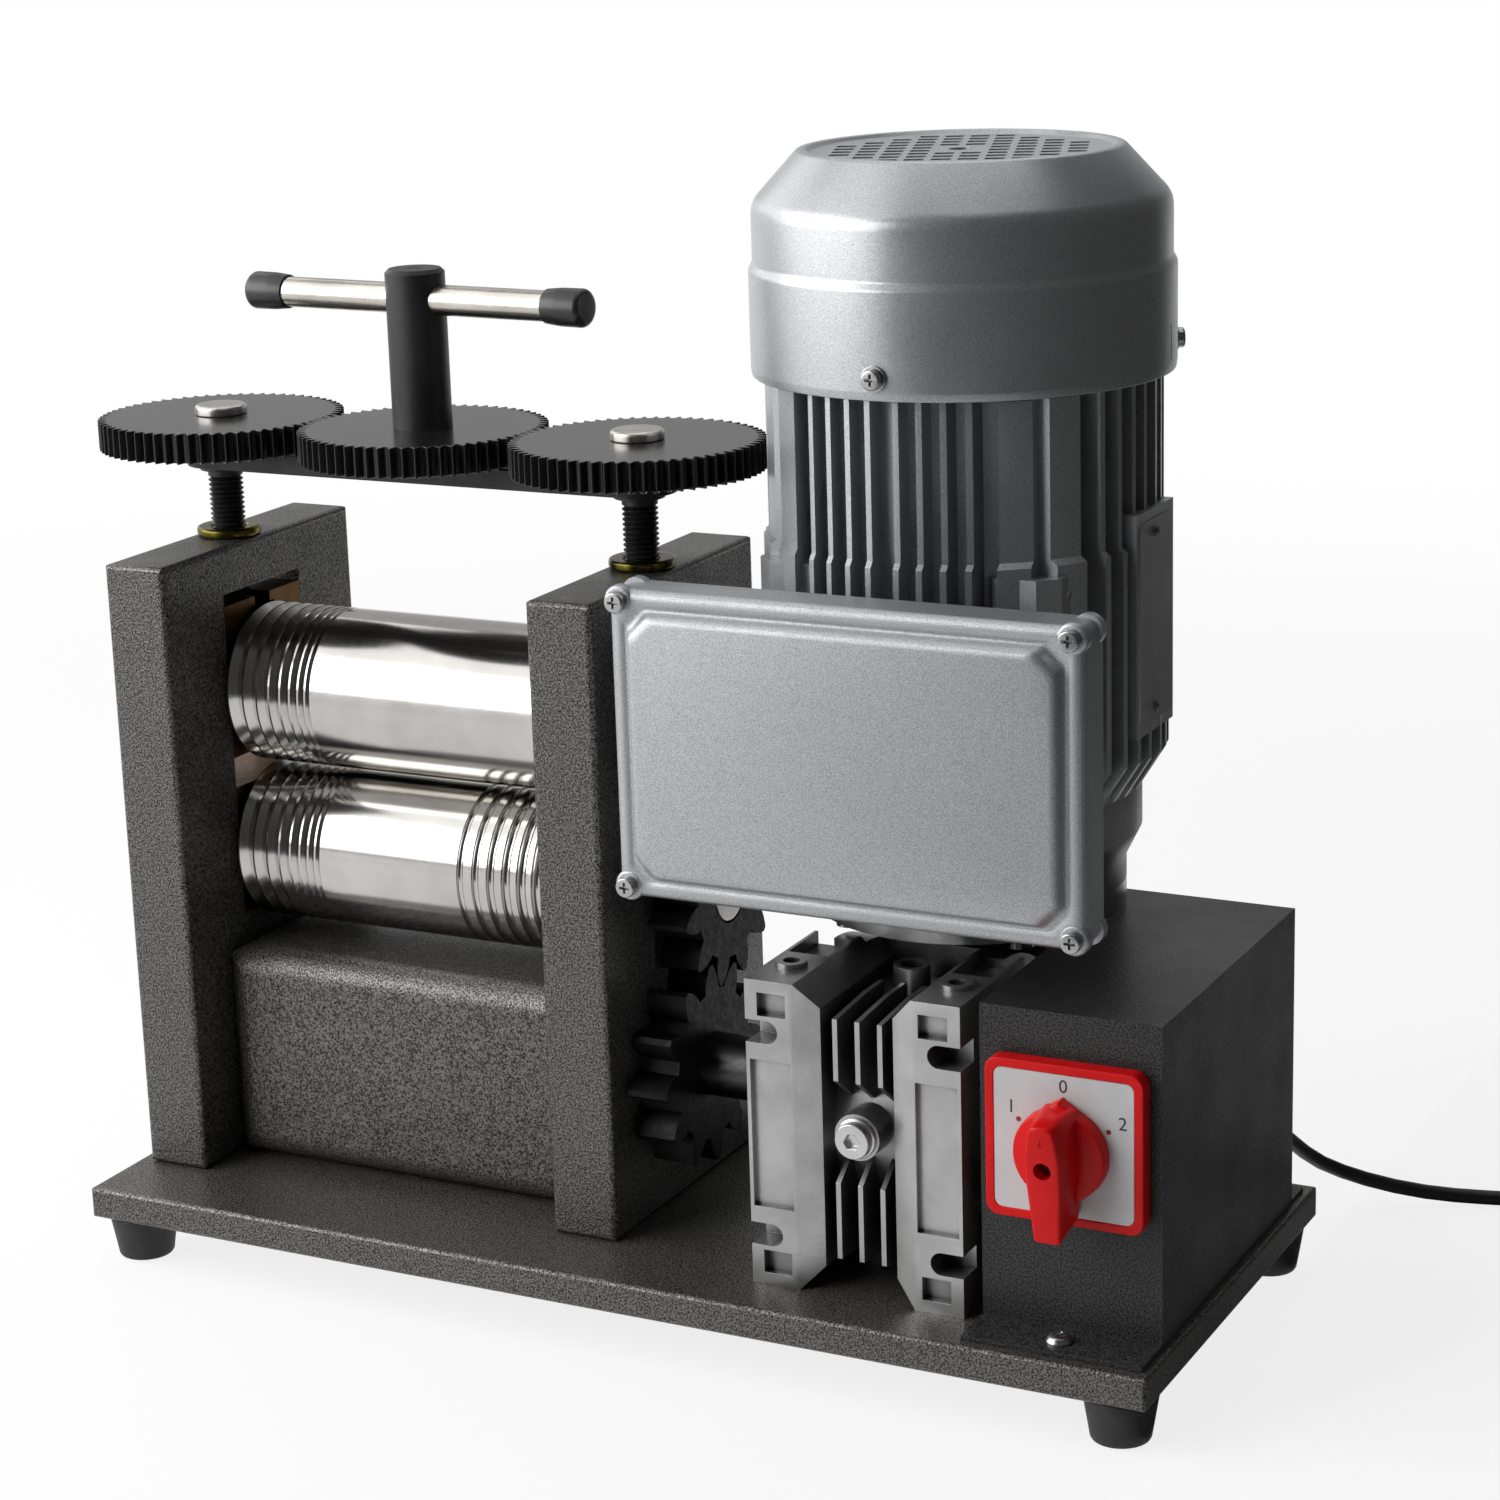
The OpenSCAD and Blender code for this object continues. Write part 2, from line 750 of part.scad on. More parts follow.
module lower_blocks() color("#b0803c") for (side = [-1, 1]) at_screw(side) difference() {
  box([-cheek_t / 2, cheek_t / 2], [-window_w / 2, window_w / 2], [window_low, lower_z + block_below]);
  translate([0, 0, lower_z]) along_x(-cheek_t, cheek_t, journal_d / 2 + running_fit);
}
module upper_blocks() color("#b0803c") for (side = [-1, 1]) at_screw(side) difference() {
  box([-cheek_t / 2, cheek_t / 2], [-window_w / 2 + sliding_fit, window_w / 2 - sliding_fit],
    [upper_z - block_below, block_top]);
  translate([0, 0, upper_z]) along_x(-cheek_t, cheek_t, journal_d / 2 + running_fit);
  box([-cheek_t, cheek_t], [-neck_r - turning_gap, neck_r + turning_gap], [button_z, block_top + cut]);
  box([-cheek_t, cheek_t], [-button_r - turning_gap, button_r + turning_gap],
    [button_z - turning_gap, button_z + button_h + turning_gap]);
}

function vee_start(i) = vee_margin + i * (2 * vee_depth + vee_land) - vee_step * i * (i - 1);
function vee_notches(r) = [for (i = [0 : vee_count - 1], corner = [0 : 2])
  let (depth = vee_depth - i * vee_step) [r - (corner == 1 ? depth : 0), vee_start(i) + corner * depth]];
journal_len = roll_end_gap + cheek_t;
seat_end = journal_len + gear_gap + gear_w;
// Outline of a roll from the axis outwards, measured along the axis from its left end
roll_outline = let (r = roll_d / 2, j = journal_d / 2, s = seat_d / 2) concat(
  [[0, -journal_len], [j - edge_break, -journal_len], [j, edge_break - journal_len], [j, 0]],
  [[r - roll_chamfer, 0], [r, roll_chamfer]], vee_notches(r),
  [[r, roll_len - roll_chamfer], [r - roll_chamfer, roll_len], [j, roll_len]],
  [[j, roll_len + journal_len], [s, roll_len + journal_len], [s, roll_len + seat_end - edge_break]],
  [[s - edge_break, roll_len + seat_end], [0, roll_len + seat_end]]);
module roll(z) translate([mill_x - roll_len / 2, 0, z]) rotate([0, 90, 0]) children();
module lower_roll() color("#c8c8c8") roll(lower_z) difference() {
  turned(roll_outline);
  for (i = [0 : round_count - 1]) translate([0, 0, roll_len - round_margin - i * round_pitch])
    rotate_extrude() translate([roll_d / 2, 0]) circle(round_first - i * round_step);
}
module upper_roll() color("#c8c8c8") roll(upper_z) turned(roll_outline);

module gear_on_x(x, outline, phase, bore) translate([x, 0, 0]) rotate([90, 0, 90]) linear_extrude(gear_w)
  difference() {
    rotate(phase) polygon(outline);
    circle(bore);
  }
roll_gear_outline = gear_outline(roll_teeth, roll_d / 2, gear_pressure, roll_d / 2 + gear_addendum,
  gear_root, gear_slack, gear_flank_steps);
drive_gear_outline = gear_outline(drive_teeth, drive_pitch_r, gear_pressure, drive_pitch_r + drive_addendum,
  drive_pitch_r - gear_addendum - turning_gap, gear_slack, gear_flank_steps);
module lower_roll_gear() color("#2c2c2c") translate([0, 0, lower_z])
  gear_on_x(gear_x, roll_gear_outline, 90, seat_d / 2 + seat_fit);
module upper_roll_gear() color("#2c2c2c") translate([0, 0, upper_z])
  gear_on_x(gear_x, roll_gear_outline, 90, seat_d / 2 + seat_fit);
module drive_gear() color("#2c2c2c") difference() {
  translate([0, output_y, output_z])
    gear_on_x(gear_x, drive_gear_outline, drive_phase, shaft_d / 2 + seat_fit);
  key_ways(seat_fit);
}

module screw_nuts() color("#8a7a3a") for (side = [-1, 1]) at_screw(side) {
  ring(screw_d / 2 + 2 * running_fit, nut_flange_d / 2, cheek_top, cheek_top + nut_flange_h);
  ring(screw_d / 2 + 2 * running_fit, nut_r, window_high, cheek_top);
}

thread_low = block_top + cut;
thread_high = link_z - collar_gap - collar_h - screw_pitch;
thread_count = floor((thread_high - thread_low) / screw_pitch);
thread_outline = [for (i = [0 : thread_count - 1], corner = [0 : 2])
  [screw_d / 2 - (corner == 1 ? thread_depth : 0), thread_low + (i + corner * 0.45) * screw_pitch]];
screw_outline = concat(
  [[0, button_z], [button_r, button_z], [button_r, button_z + button_h], [neck_r, button_z + button_h]],
  [[neck_r, thread_low]], thread_outline,
  [[screw_d / 2, thread_high + screw_pitch], [collar_r, thread_high + screw_pitch]],
  [[collar_r, link_z - collar_gap]],
  [[screw_d / 2, link_z - collar_gap], [screw_d / 2, screw_gear_z], [spigot_r, screw_gear_z]],
  [[spigot_r, screw_gear_top], [stud_r + seat_fit, screw_gear_top]],
  [[stud_r + seat_fit, screw_gear_top - stud_len], [0, screw_gear_top - stud_len]]);
module left_screw() color("#262626") at_screw(-1) turned(screw_outline);
module right_screw() color("#262626") at_screw(1) turned(screw_outline);

screw_gear_outline = gear_outline(screw_teeth, cheek_x / 2, screw_pressure, screw_gear_r,
  cheek_x / 2 - 1.25 * screw_module, screw_slack, 2);
module screw_gear(phase, bore) translate([0, 0, screw_gear_z]) linear_extrude(screw_gear_t) difference() {
  rotate(phase) polygon(screw_gear_outline);
  circle(bore);
}
module left_screw_gear() color("#0c0c0e") at_screw(-1) screw_gear(180 / screw_teeth, spigot_r + seat_fit);
module right_screw_gear() color("#0c0c0e") at_screw(1) screw_gear(180 / screw_teeth, spigot_r + seat_fit);
module centre_gear() color("#0c0c0e") at_mill() screw_gear(0, pivot_r + seat_fit);

gear_cap_outline = [
  [0, screw_gear_top - stud_len + seat_fit], [stud_r, screw_gear_top - stud_len + seat_fit],
  [stud_r, screw_gear_top], [cap_d / 2, screw_gear_top], [cap_d / 2, screw_gear_top + cap_t - edge_break],
  [cap_d / 2 - edge_break, screw_gear_top + cap_t], [0, screw_gear_top + cap_t]];
module left_gear_cap() color("#b8b8b4") at_screw(-1) turned(gear_cap_outline);
module right_gear_cap() color("#b8b8b4") at_screw(1) turned(gear_cap_outline);

module link_bar() color("#1a1a1a") at_mill() translate([0, 0, link_z]) linear_extrude(link_t) difference() {
  union() {
    square([2 * cheek_x, link_w], center = true);
    for (side = [-1, 1]) translate([side * cheek_x, 0]) circle(d = link_w);
  }
  for (side = [-1, 1]) translate([side * cheek_x, 0]) circle(screw_d / 2 + 2 * running_fit);
  circle(pivot_r + 2 * running_fit);
}

module handle_post() color("#1e1e1e") at_mill() difference() {
  turned([[0, link_z], [pivot_r, link_z], [pivot_r, screw_gear_top], [post_d / 2, screw_gear_top],
    [post_d / 2, post_top - post_chamfer], [post_d / 2 - post_chamfer, post_top], [dimple_r, post_top],
    [0, post_top - dimple_h]]);
  translate([0, 0, bar_z]) rotate(bar_turn) along_x(-post_d, post_d, bar_d / 2 + seat_fit);
}
module handle_bar() color("#b8b4a8") at_mill() translate([0, 0, bar_z]) rotate(bar_turn)
  along_x(-bar_len / 2, bar_len / 2, bar_d / 2);
bar_cap_outline = [[bar_d / 2 + seat_fit, 0], [bar_cap_d / 2 - edge_break / 2, 0],
  [bar_cap_d / 2, edge_break], [bar_cap_d / 2, bar_cap_len - edge_break],
  [bar_cap_d / 2 - edge_break, bar_cap_len], [0, bar_cap_len], [0, cap_bite + seat_fit],
  [bar_d / 2 + seat_fit, cap_bite + seat_fit]];
module bar_caps() color("#141414") at_mill() translate([0, 0, bar_z]) for (half = [0, 180])
  rotate(bar_turn + half) translate([bar_len / 2 - cap_bite, 0, 0]) rotate([0, 90, 0])
    turned(bar_cap_outline);

// Gearbox housing, drawn from its left front bottom corner
module reducer_fin(inner_end) translate([-reducer_fin_t / 2, 0, 0]) rotate([90, 0, 90])
  linear_extrude(reducer_fin_t) polygon([
    [reducer_fin_front, inner_end],
    [reducer_fin_front, reducer_h - reducer_fin_edge],
    [reducer_fin_back - channel_d, reducer_h - reducer_fin_edge + 2],
    [reducer_fin_back, reducer_h - reducer_fin_edge + 2],
    [reducer_fin_back, reducer_h / 2 + cavity_r - cut],
    [reducer_foot - inner_drum_r * cos(45) + cut, reducer_h / 2 + inner_drum_r * sin(45) - cut],
    [channel_d + 3, inner_end - reducer_fin_slant]]);
module channel_outline(depth) polygon([[pad_w, -cut], [pad_w, 0], [pad_w + flank_w, flank_d],
  [pad_w + flank_w, depth], [reducer_w - pad_w - flank_w, depth], [reducer_w - pad_w - flank_w, flank_d],
  [reducer_w - pad_w, 0], [reducer_w - pad_w, -cut]]);
module mitre_outline() polygon([[pad_w, -cut], [pad_w, 0], [pad_w + flank_w, mitre_h],
  [reducer_w - pad_w - flank_w, mitre_h], [reducer_w - pad_w, 0], [reducer_w - pad_w, -cut]]);
module reducer_shell() difference() {
  union() {
    box([0, reducer_w], [0, reducer_foot], [0, reducer_h]);
    intersection() {
      translate([0, reducer_foot, reducer_h / 2])
        along_x(cover_side + cover_plate_t, reducer_w - cover_side - cover_plate_t, drum_r);
      box([0, reducer_w], [reducer_foot - cut, reducer_foot + drum_r + cut], [0, reducer_h]);
    }
  }
  translate([0, 0, -cut]) linear_extrude(reducer_h + 2 * cut) channel_outline(channel_back);
  for (end = [0, 1]) translate([0, channel_back, end * reducer_h]) mirror([0, 0, end])
    rotate([90, 0, 0]) linear_extrude(channel_back + cut) mitre_outline();
}
module reducer_body() {
  reducer_shell();
  translate([0, reducer_foot, reducer_h / 2])
    along_x(pad_w + flank_w - cut, reducer_w - pad_w - flank_w + cut, inner_drum_r);
  translate([reducer_w / 2, reducer_foot + worm_centre, 0]) {
    cylinder(r = tube_r, h = reducer_h + tube_rise);
    translate([0, 0, flange_top - deck_z - flange_t]) cylinder(r = flange_r, h = flange_t);
  }
  for (i = [-1, 0, 1]) translate([reducer_w / 2 + i * reducer_fin_pitch, 0, 0]) {
    reducer_fin(plug_z + reducer_fin_gap);
    translate([0, 0, reducer_h]) mirror([0, 0, 1]) reducer_fin(reducer_h - plug_z + reducer_fin_gap);
  }
  translate([reducer_w / 2, 0, plug_z]) along_y(plug_face, channel_d + 3, plug_boss_r);
  translate([reducer_w / 2, breather_y, reducer_h / 2 + cavity_r])
    cylinder(r = breather_r, h = breather_top - reducer_h / 2 - cavity_r);
  for (side = [-1, 1])
    translate([reducer_w / 2 + side * (reducer_w - pad_w) / 2, reducer_bolt_front, reducer_h - cut])
      cylinder(r = boss_r, h = boss_h + cut);
}
// What is cut from the left half of the gearbox, and mirrored for the right half
module reducer_side_cuts() {
  translate([0, reducer_foot, reducer_h / 2])
    along_x(-cut, cover_side + cover_plate_t, cover_plate_r + turning_gap);
  for (end = [-1, 1]) translate([0, 0, reducer_h / 2 + end * slot_pitch / 2]) {
    box([-cut, slot_end - slot_w / 2], [-cut, slot_depth], [-slot_w / 2, slot_w / 2]);
    translate([slot_end - slot_w / 2, 0, 0]) along_y(-cut, slot_depth, slot_w / 2);
    translate([pad_w - strip_lip * 2 - pocket_w / 2, 0, end * (slot_w / 2 + pocket_lip + pocket_h / 2)])
      box([-pocket_w / 2, pocket_w / 2], [-cut, pocket_d], [-pocket_h / 2, pocket_h / 2]);
  }
  box([strip_lip, pad_w - strip_lip], [-cut, strip_d], [pad_h, reducer_h - pad_h]);
  box([strip_lip, pad_w - strip_lip], [wall_pocket_y, reducer_foot],
    [reducer_h - wall_pocket_d, reducer_h + cut]);
  translate([pad_w / 2, reducer_bolt_front, reducer_h + boss_h])
    cylinder(r = boss_hole_r, h = boss_hole_h, center = true);
  translate([0, reducer_foot, reducer_h / 2]) for (i = [0 : cover_screw_count - 1])
    rotate([360 / cover_screw_count * i, 0, 0]) translate([0, 0, cover_screw_r])
      along_x(cover_side, cover_side + cover_plate_t + small_bite, small_screw_r + seat_fit);
}
module reducer_housing() color("#c4c6c8") difference() {
  at_reducer() difference() {
    reducer_body();
    for (side = [0, 1]) translate([side * reducer_w, 0, 0]) mirror([side, 0, 0]) reducer_side_cuts();
    translate([0, reducer_foot, reducer_h / 2]) along_x(0, reducer_w, cavity_r);
    translate([reducer_w / 2, reducer_foot + worm_centre, 0]) {
      translate([0, 0, low_bearing_z - low_journal_drop]) cylinder(r = low_journal_r + 2, h = reducer_h);
      translate([0, 0, low_bearing_z]) cylinder(r = low_bearing_r + seat_fit, h = reducer_h);
      translate([0, 0, top_bearing_z]) cylinder(r = top_bearing_r + seat_fit, h = reducer_h);
      for (a = [45 : 90 : 315]) rotate(a) translate([motor_bolt_pcd_r, 0, reducer_h])
        cylinder(r = motor_bolt_r + bolt_clear, h = reducer_h);
    }
    translate([reducer_w / 2, breather_y, breather_top - breather_depth])
      cylinder(r = breather_hole_r, h = breather_depth + cut);
    translate([reducer_w / 2, 0, plug_z]) along_y(0, plug_face + plug_bore, plug_thread_r + seat_fit);
  }
  bolt_holes();
}

module oil_plug() color("#d8dadc") at_reducer() translate([reducer_w / 2, plug_face, plug_z]) difference() {
  union() {
    along_y(-plug_head_h, -plug_washer_h, plug_r);
    along_y(-plug_washer_h, 0, plug_washer_r);
    along_y(-cut, plug_bore - cut, plug_thread_r);
  }
  rotate([90, 0, 0]) translate([0, 0, plug_head_h / 2])
    cylinder(r = plug_socket_r, h = plug_head_h, $fn = 6);
}

// Covers, bearings and seals on both ends of the output axis, drawn for the left end
module each_end() for (end = [0, 1]) translate([end * reducer_w, 0, 0]) mirror([end, 0, 0])
  translate([cover_side, 0, 0]) rotate([0, 90, 0]) children();
module side_covers() color("#b8babc") at_output() each_end() difference() {
  turned([[seal_r, 0], [cover_plate_r - edge_break, 0], [cover_plate_r, edge_break],
    [cover_plate_r, cover_plate_t], [cavity_r - sliding_fit, cover_plate_t],
    [cavity_r - sliding_fit, cover_plate_t + spigot_len], [bearing_r + seat_fit, cover_plate_t + spigot_len],
    [bearing_r + seat_fit, bearing_seat], [seal_r, bearing_seat]]);
  for (i = [0 : cover_screw_count - 1]) rotate(360 / cover_screw_count * i)
    translate([cover_screw_r, 0, -cut])
      cylinder(r = small_screw_r + bolt_clear, h = cover_plate_t + 2 * cut);
}
module side_cover_screws() color("#9a9c9e") at_output() each_end() for (i = [0 : cover_screw_count - 1])
  rotate(360 / cover_screw_count * i) translate([cover_screw_r, 0, 0]) difference() {
    union() {
      translate([0, 0, -cover_side]) cylinder(r = small_head_r, h = cover_side);
      translate([0, 0, -cut]) cylinder(r = small_screw_r, h = cover_plate_t + small_bite);
    }
    translate([0, 0, -cover_side - cut])
      cylinder(r = small_screw_r * socket_share, h = cover_side / 2 + cut, $fn = 6);
  }
module output_seals() color("#1a1a1a") at_output() each_end()
  ring(hub_r + running_fit, seal_r - seat_fit, edge_break / 2, bearing_seat - seat_fit);
module output_bearings() color("#a8aaac") at_output() each_end()
  ring(hub_r + running_fit, bearing_r, bearing_seat, bearing_seat + bearing_w);

module key_ways(ease) at_output() {
  box([gear_x - reducer_x + cut - ease, gear_x - reducer_x + gear_w - cut + ease],
    [-key_w / 2 - ease, key_w / 2 + ease], [shaft_d / 2 - key_depth - ease, shaft_d / 2 + key_rise + ease]);
  box([reducer_w / 2 - key_len / 2 - ease, reducer_w / 2 + key_len / 2 + ease],
    [-key_w / 2 - ease, key_w / 2 + ease], [shaft_d / 2 - key_depth - ease, shaft_d / 2 + key_rise + ease]);
}
module shaft_keys() color("#6a6a6a") key_ways(0);
module output_shaft() color("#5a5a58") difference() {
  at_output() translate([gear_x - reducer_x, 0, 0]) rotate([0, 90, 0])
    turned([[0, 0], [shaft_d / 2 - edge_break, 0], [shaft_d / 2, edge_break],
      [shaft_d / 2, reducer_x - gear_x + reducer_w - edge_break],
      [shaft_d / 2 - edge_break, reducer_x - gear_x + reducer_w], [0, reducer_x - gear_x + reducer_w]]);
  key_ways(seat_fit);
}

wheel_tooth = [[wheel_rim - cut, -wheel_foot_half], [wheel_tip, -tip_half], [wheel_tip, tip_half],
  [wheel_rim - cut, wheel_foot_half]];
hub_short = cover_side + cover_plate_t + spigot_len + turning_gap;
module worm_wheel() color("#b48a3c") difference() {
  at_output() difference() {
    union() {
      along_x(cover_side + edge_break, reducer_w - cover_side - edge_break, hub_r);
      along_x(hub_short, reducer_w - hub_short, hub_r + 4);
      along_x((reducer_w - wheel_face) / 2, (reducer_w + wheel_face) / 2, wheel_rim);
      for (k = [0 : wheel_teeth - 1]) rotate([360 / wheel_teeth * (k + 0.5), 0, 0])
        translate([reducer_w / 2, 0, 0]) rotate([0, -lead_angle, 0]) translate([-wheel_face / 2, 0, 0])
          rotate([90, 0, 90]) linear_extrude(wheel_face) polygon(wheel_tooth);
    }
    along_x(0, reducer_w, shaft_d / 2 + seat_fit);
  }
  key_ways(seat_fit);
}

// Worm: a core with a thread wound on it
worm_span = worm_turns * worm_steps;
worm_profile = [[worm_root, -worm_foot_half], [worm_tip, -tip_half], [worm_tip, tip_half],
  [worm_root, worm_foot_half]];
worm_points = [for (i = [0 : worm_span], p = worm_profile)
  let (turn = i / worm_steps - worm_turns / 2, a = 360 * turn - 90)
  [p.x * cos(a), p.x * sin(a), worm_z + worm_lead * turn + p.y]];
worm_faces = concat(
  [for (i = [0 : worm_span - 1], k = [0 : 3], half = [0, 1])
    let (a = i * 4 + k, b = i * 4 + (k + 1) % 4)
    half == 0 ? [a, b, a + 4] : [b, b + 4, a + 4]],
  [[0, 2, 1], [0, 3, 2]],
  [let (e = worm_span * 4) [e, e + 1, e + 2], let (e = worm_span * 4) [e, e + 2, e + 3]]);
module worm_shaft() color("#8a8c8e") at_motor() translate([0, 0, deck_z]) {
  turned([[0, low_bearing_z - worm_end], [low_journal_r, low_bearing_z - worm_end],
    [low_journal_r, low_bearing_z + low_bearing_w], [worm_core, low_bearing_z + low_bearing_w],
    [worm_core, top_journal_z], [top_journal_r, top_journal_z], [top_journal_r, worm_top],
    [motor_shaft_r + seat_fit, worm_top], [motor_shaft_r + seat_fit, top_journal_z + socket_floor],
    [0, top_journal_z + socket_floor]]);
  polyhedron(worm_points, worm_faces);
}
module worm_bearings() color("#a8aaac") at_motor() translate([0, 0, deck_z]) {
  ring(low_journal_r + running_fit, low_bearing_r, low_bearing_z, low_bearing_z + low_bearing_w);
  ring(top_journal_r + running_fit, top_bearing_r, top_bearing_z, top_bearing_z + top_bearing_w);
}

// Motor, drawn about its own axis
module side_fins() for (a = [0 : 90 : 270], side = [-1, 1], i = [0 : fins_per_side / 2 - 1]) rotate(a)
  translate([0, side * (fin_centre_gap / 2 + i * fin_pitch), 0])
    box([frame_bore / 2, fin_r + 2 * fin_step], [-fin_t / 2, fin_t / 2], [0, frame_h]);
module fin_envelope() turned([[0, 0], [frame_r, 0], [fin_r + fin_step, bevel_h],
  [fin_r + fin_step, lug_top + 4 * fin_step], [fin_r - fin_step, lug_top + 6 * fin_step],
  [fin_r - fin_step, frame_h], [0, frame_h]]);
module corner_ribs() for (a = [0 : 90 : 270], turn = [0, 1]) rotate(a) mirror([turn, -turn, 0])
  box([corner_near, corner_far], [corner_near, fin_r], [bevel_h, frame_h - cover_lap - fin_step]);
module corner_lugs() for (a = [0 : 90 : 270]) rotate(a) translate([0, 0, lug_top - lug_h])
  linear_extrude(lug_h) polygon([[lug_near, lug_near], [corner_reach, lug_near], [corner_reach, lug_far],
    [lug_far, corner_reach], [lug_near, corner_reach]]);
module motor_frame() color("#9c9ea0") at_motor() translate([0, 0, frame_z]) difference() {
  union() {
    cylinder(r = frame_r, h = frame_h);
    intersection() {
      union() {
        side_fins();
        corner_ribs();
      }
      fin_envelope();
    }
    corner_lugs();
    box([frame_bore, fin_r + fin_step / 2], [-name_pad_half, name_pad_half], [name_pad_low, name_pad_high]);
    box([-pad_half_w, pad_half_w], [-pad_front, -frame_bore / 2], [pad_low, pad_high]);
  }
  translate([0, 0, -cut]) cylinder(r = frame_bore, h = frame_h + 2 * cut);
}
front_seat = frame_z - motor_bearing_w - shaft_gap;
module drive_end_shield() color("#8e9092") at_motor() difference() {
  turned([[bearing_shaft_r + shaft_gap, flange_top], [flange_r, flange_top],
    [flange_r, flange_top + shield_flange_h], [shield_r, flange_top + shield_flange_h + shield_taper_h],
    [shield_r, frame_z], [frame_bore - seat_fit, frame_z], [frame_bore - seat_fit, frame_z + frame_lap],
    [shield_bore, frame_z + frame_lap], [shield_bore, frame_z - shield_floor],
    [bearing_boss_r, frame_z - shield_floor], [bearing_boss_r, front_seat + motor_bearing_w],
    [motor_bearing_r + seat_fit, front_seat + motor_bearing_w], [motor_bearing_r + seat_fit, front_seat],
    [bearing_shaft_r + shaft_gap, front_seat]]);
  for (a = [45 : 90 : 315]) rotate(a) translate([motor_bolt_pcd_r, 0, flange_top - cut])
    cylinder(r = motor_bolt_r + seat_fit, h = motor_bolt_bite + cut);
}
module flange_bolts() color("#5a5c5e") at_motor() for (a = [45 : 90 : 315]) rotate(a)
  translate([motor_bolt_pcd_r, 0, flange_top - flange_t - motor_bolt_head_h]) difference() {
    union() {
      cylinder(r = motor_bolt_head_r, h = motor_bolt_head_h);
      cylinder(r = motor_bolt_r, h = motor_bolt_head_h + flange_t + motor_bolt_bite - cut);
    }
    translate([0, 0, -cut])
      cylinder(r = motor_bolt_r * socket_share, h = motor_bolt_head_h / 2 + cut, $fn = 6);
  }
rear_seat = frame_top - shaft_step;
cover_screw_z = frame_top + rear_plate_h / 2;
module rear_end_shield() color("#8e9092") at_motor() difference() {
  union() {
    turned([[bearing_shaft_r + shaft_gap, frame_top + rear_h],
      [bearing_shaft_r + shaft_gap, rear_seat + motor_bearing_w],
      [motor_bearing_r + seat_fit, rear_seat + motor_bearing_w], [motor_bearing_r + seat_fit, rear_seat],
      [bearing_boss_r, rear_seat], [bearing_boss_r, frame_top], [shield_bore, frame_top],
      [shield_bore, frame_top - frame_lap], [frame_bore - seat_fit, frame_top - frame_lap],
      [frame_bore - seat_fit, frame_top], [frame_r, frame_top], [frame_r, frame_top + rear_plate_h],
      [rear_hub_r, frame_top + rear_plate_h], [rear_hub_r, frame_top + rear_h]]);
    for (a = [0, 120, 240]) rotate(a) box([-rear_lug_w / 2, rear_lug_w / 2],
      [-rear_lug_reach, -frame_bore], [frame_top, frame_top + rear_plate_h]);
  }
  for (a = [0, 120, 240]) rotate(a) translate([0, 0, cover_screw_z])
    along_y(-cover_r, -cover_r + cover_wall + small_bite, small_screw_r + seat_fit);
}
module stator() color("#7a5a3a") at_motor() translate([0, 0, frame_z + core_lift]) {
  ring(rotor_r + air_gap, frame_bore - seat_fit, 0, core_h);
  ring(winding_near, winding_far, -winding_h, 0);
  ring(winding_near, winding_far, core_h, core_h + winding_h);
}
shaft_low = deck_z + top_journal_z + socket_floor + cut;
shaft_top = frame_top + fan_z + fan_disc_z + fan_hub_h;
rotor_low = frame_z + core_lift + rotor_gap;
rotor_high = frame_z + core_lift + core_h - rotor_gap;
module rotor() color("#8a8c8e") at_motor() turned([[0, shaft_low], [motor_shaft_r, shaft_low],
  [motor_shaft_r, front_seat - shaft_step], [bearing_shaft_r, front_seat - shaft_step],
  [bearing_shaft_r, rotor_low], [rotor_r, rotor_low], [rotor_r, rotor_high], [bearing_shaft_r, rotor_high],
  [bearing_shaft_r, frame_top + fan_z - edge_break], [fan_bore, frame_top + fan_z - edge_break],
  [fan_bore, shaft_top], [0, shaft_top]]);
module motor_bearings() color("#a8aaac") at_motor() for (z = [front_seat, rear_seat])
  ring(bearing_shaft_r + running_fit, motor_bearing_r, z, z + motor_bearing_w);
module cooling_fan() color("#2a2a2c") at_motor() translate([0, 0, frame_top + fan_z]) difference() {
  union() {
    cylinder(r = fan_hub_r, h = fan_hub_h);
    translate([0, 0, fan_disc_z]) cylinder(r = fan_r, h = fan_disc_t);
    for (i = [0 : fan_blades - 1]) rotate(360 / fan_blades * i)
      box([fan_hub_r - cut, fan_r], [-fan_blade_t / 2, fan_blade_t / 2],
        [fan_disc_z, fan_disc_z + fan_blade_h]);
  }
  translate([0, 0, -cut]) cylinder(r = fan_bore + seat_fit, h = 2 * fan_hub_h);
}
function cone_r(z) = cover_r - cover_step
  - (z - cover_shoulder_h) * (cover_r - cover_step - cover_top_r) / (cover_h - cover_shoulder_h);
grille_z = cover_h - dish_d;
cover_outside = [[0, 0], [cover_r, 0], [cover_r, cover_ridge_h],
  [cover_r - cover_step, cover_ridge_h + cover_step], [cover_r - cover_step, cover_shoulder_h],
  [cover_top_r, cover_h], [cover_top_r - cover_rim_w, cover_h], [dish_r, grille_z], [0, grille_z]];
cover_inside = [[0, -cut], [cover_r - cover_wall, -cut], [cover_r - cover_wall, cover_ridge_h],
  [cover_r - cover_step - cover_wall, cover_ridge_h + cover_step],
  [cover_r - cover_step - cover_wall, cover_shoulder_h - cover_wall / 3],
  [cone_r(grille_z - cover_wall) - 1.5 * cover_wall, grille_z - cover_wall], [0, grille_z - cover_wall]];
grille_places = [
  for (i = [0.5 - grille_half : grille_half], j = [0.5 - grille_half : grille_half])
    let (p = [i * grille_pitch_x, j * grille_pitch_y])
    if (abs(i) + abs(j) <= grille_reach && norm(p) > grille_hub_r) p];
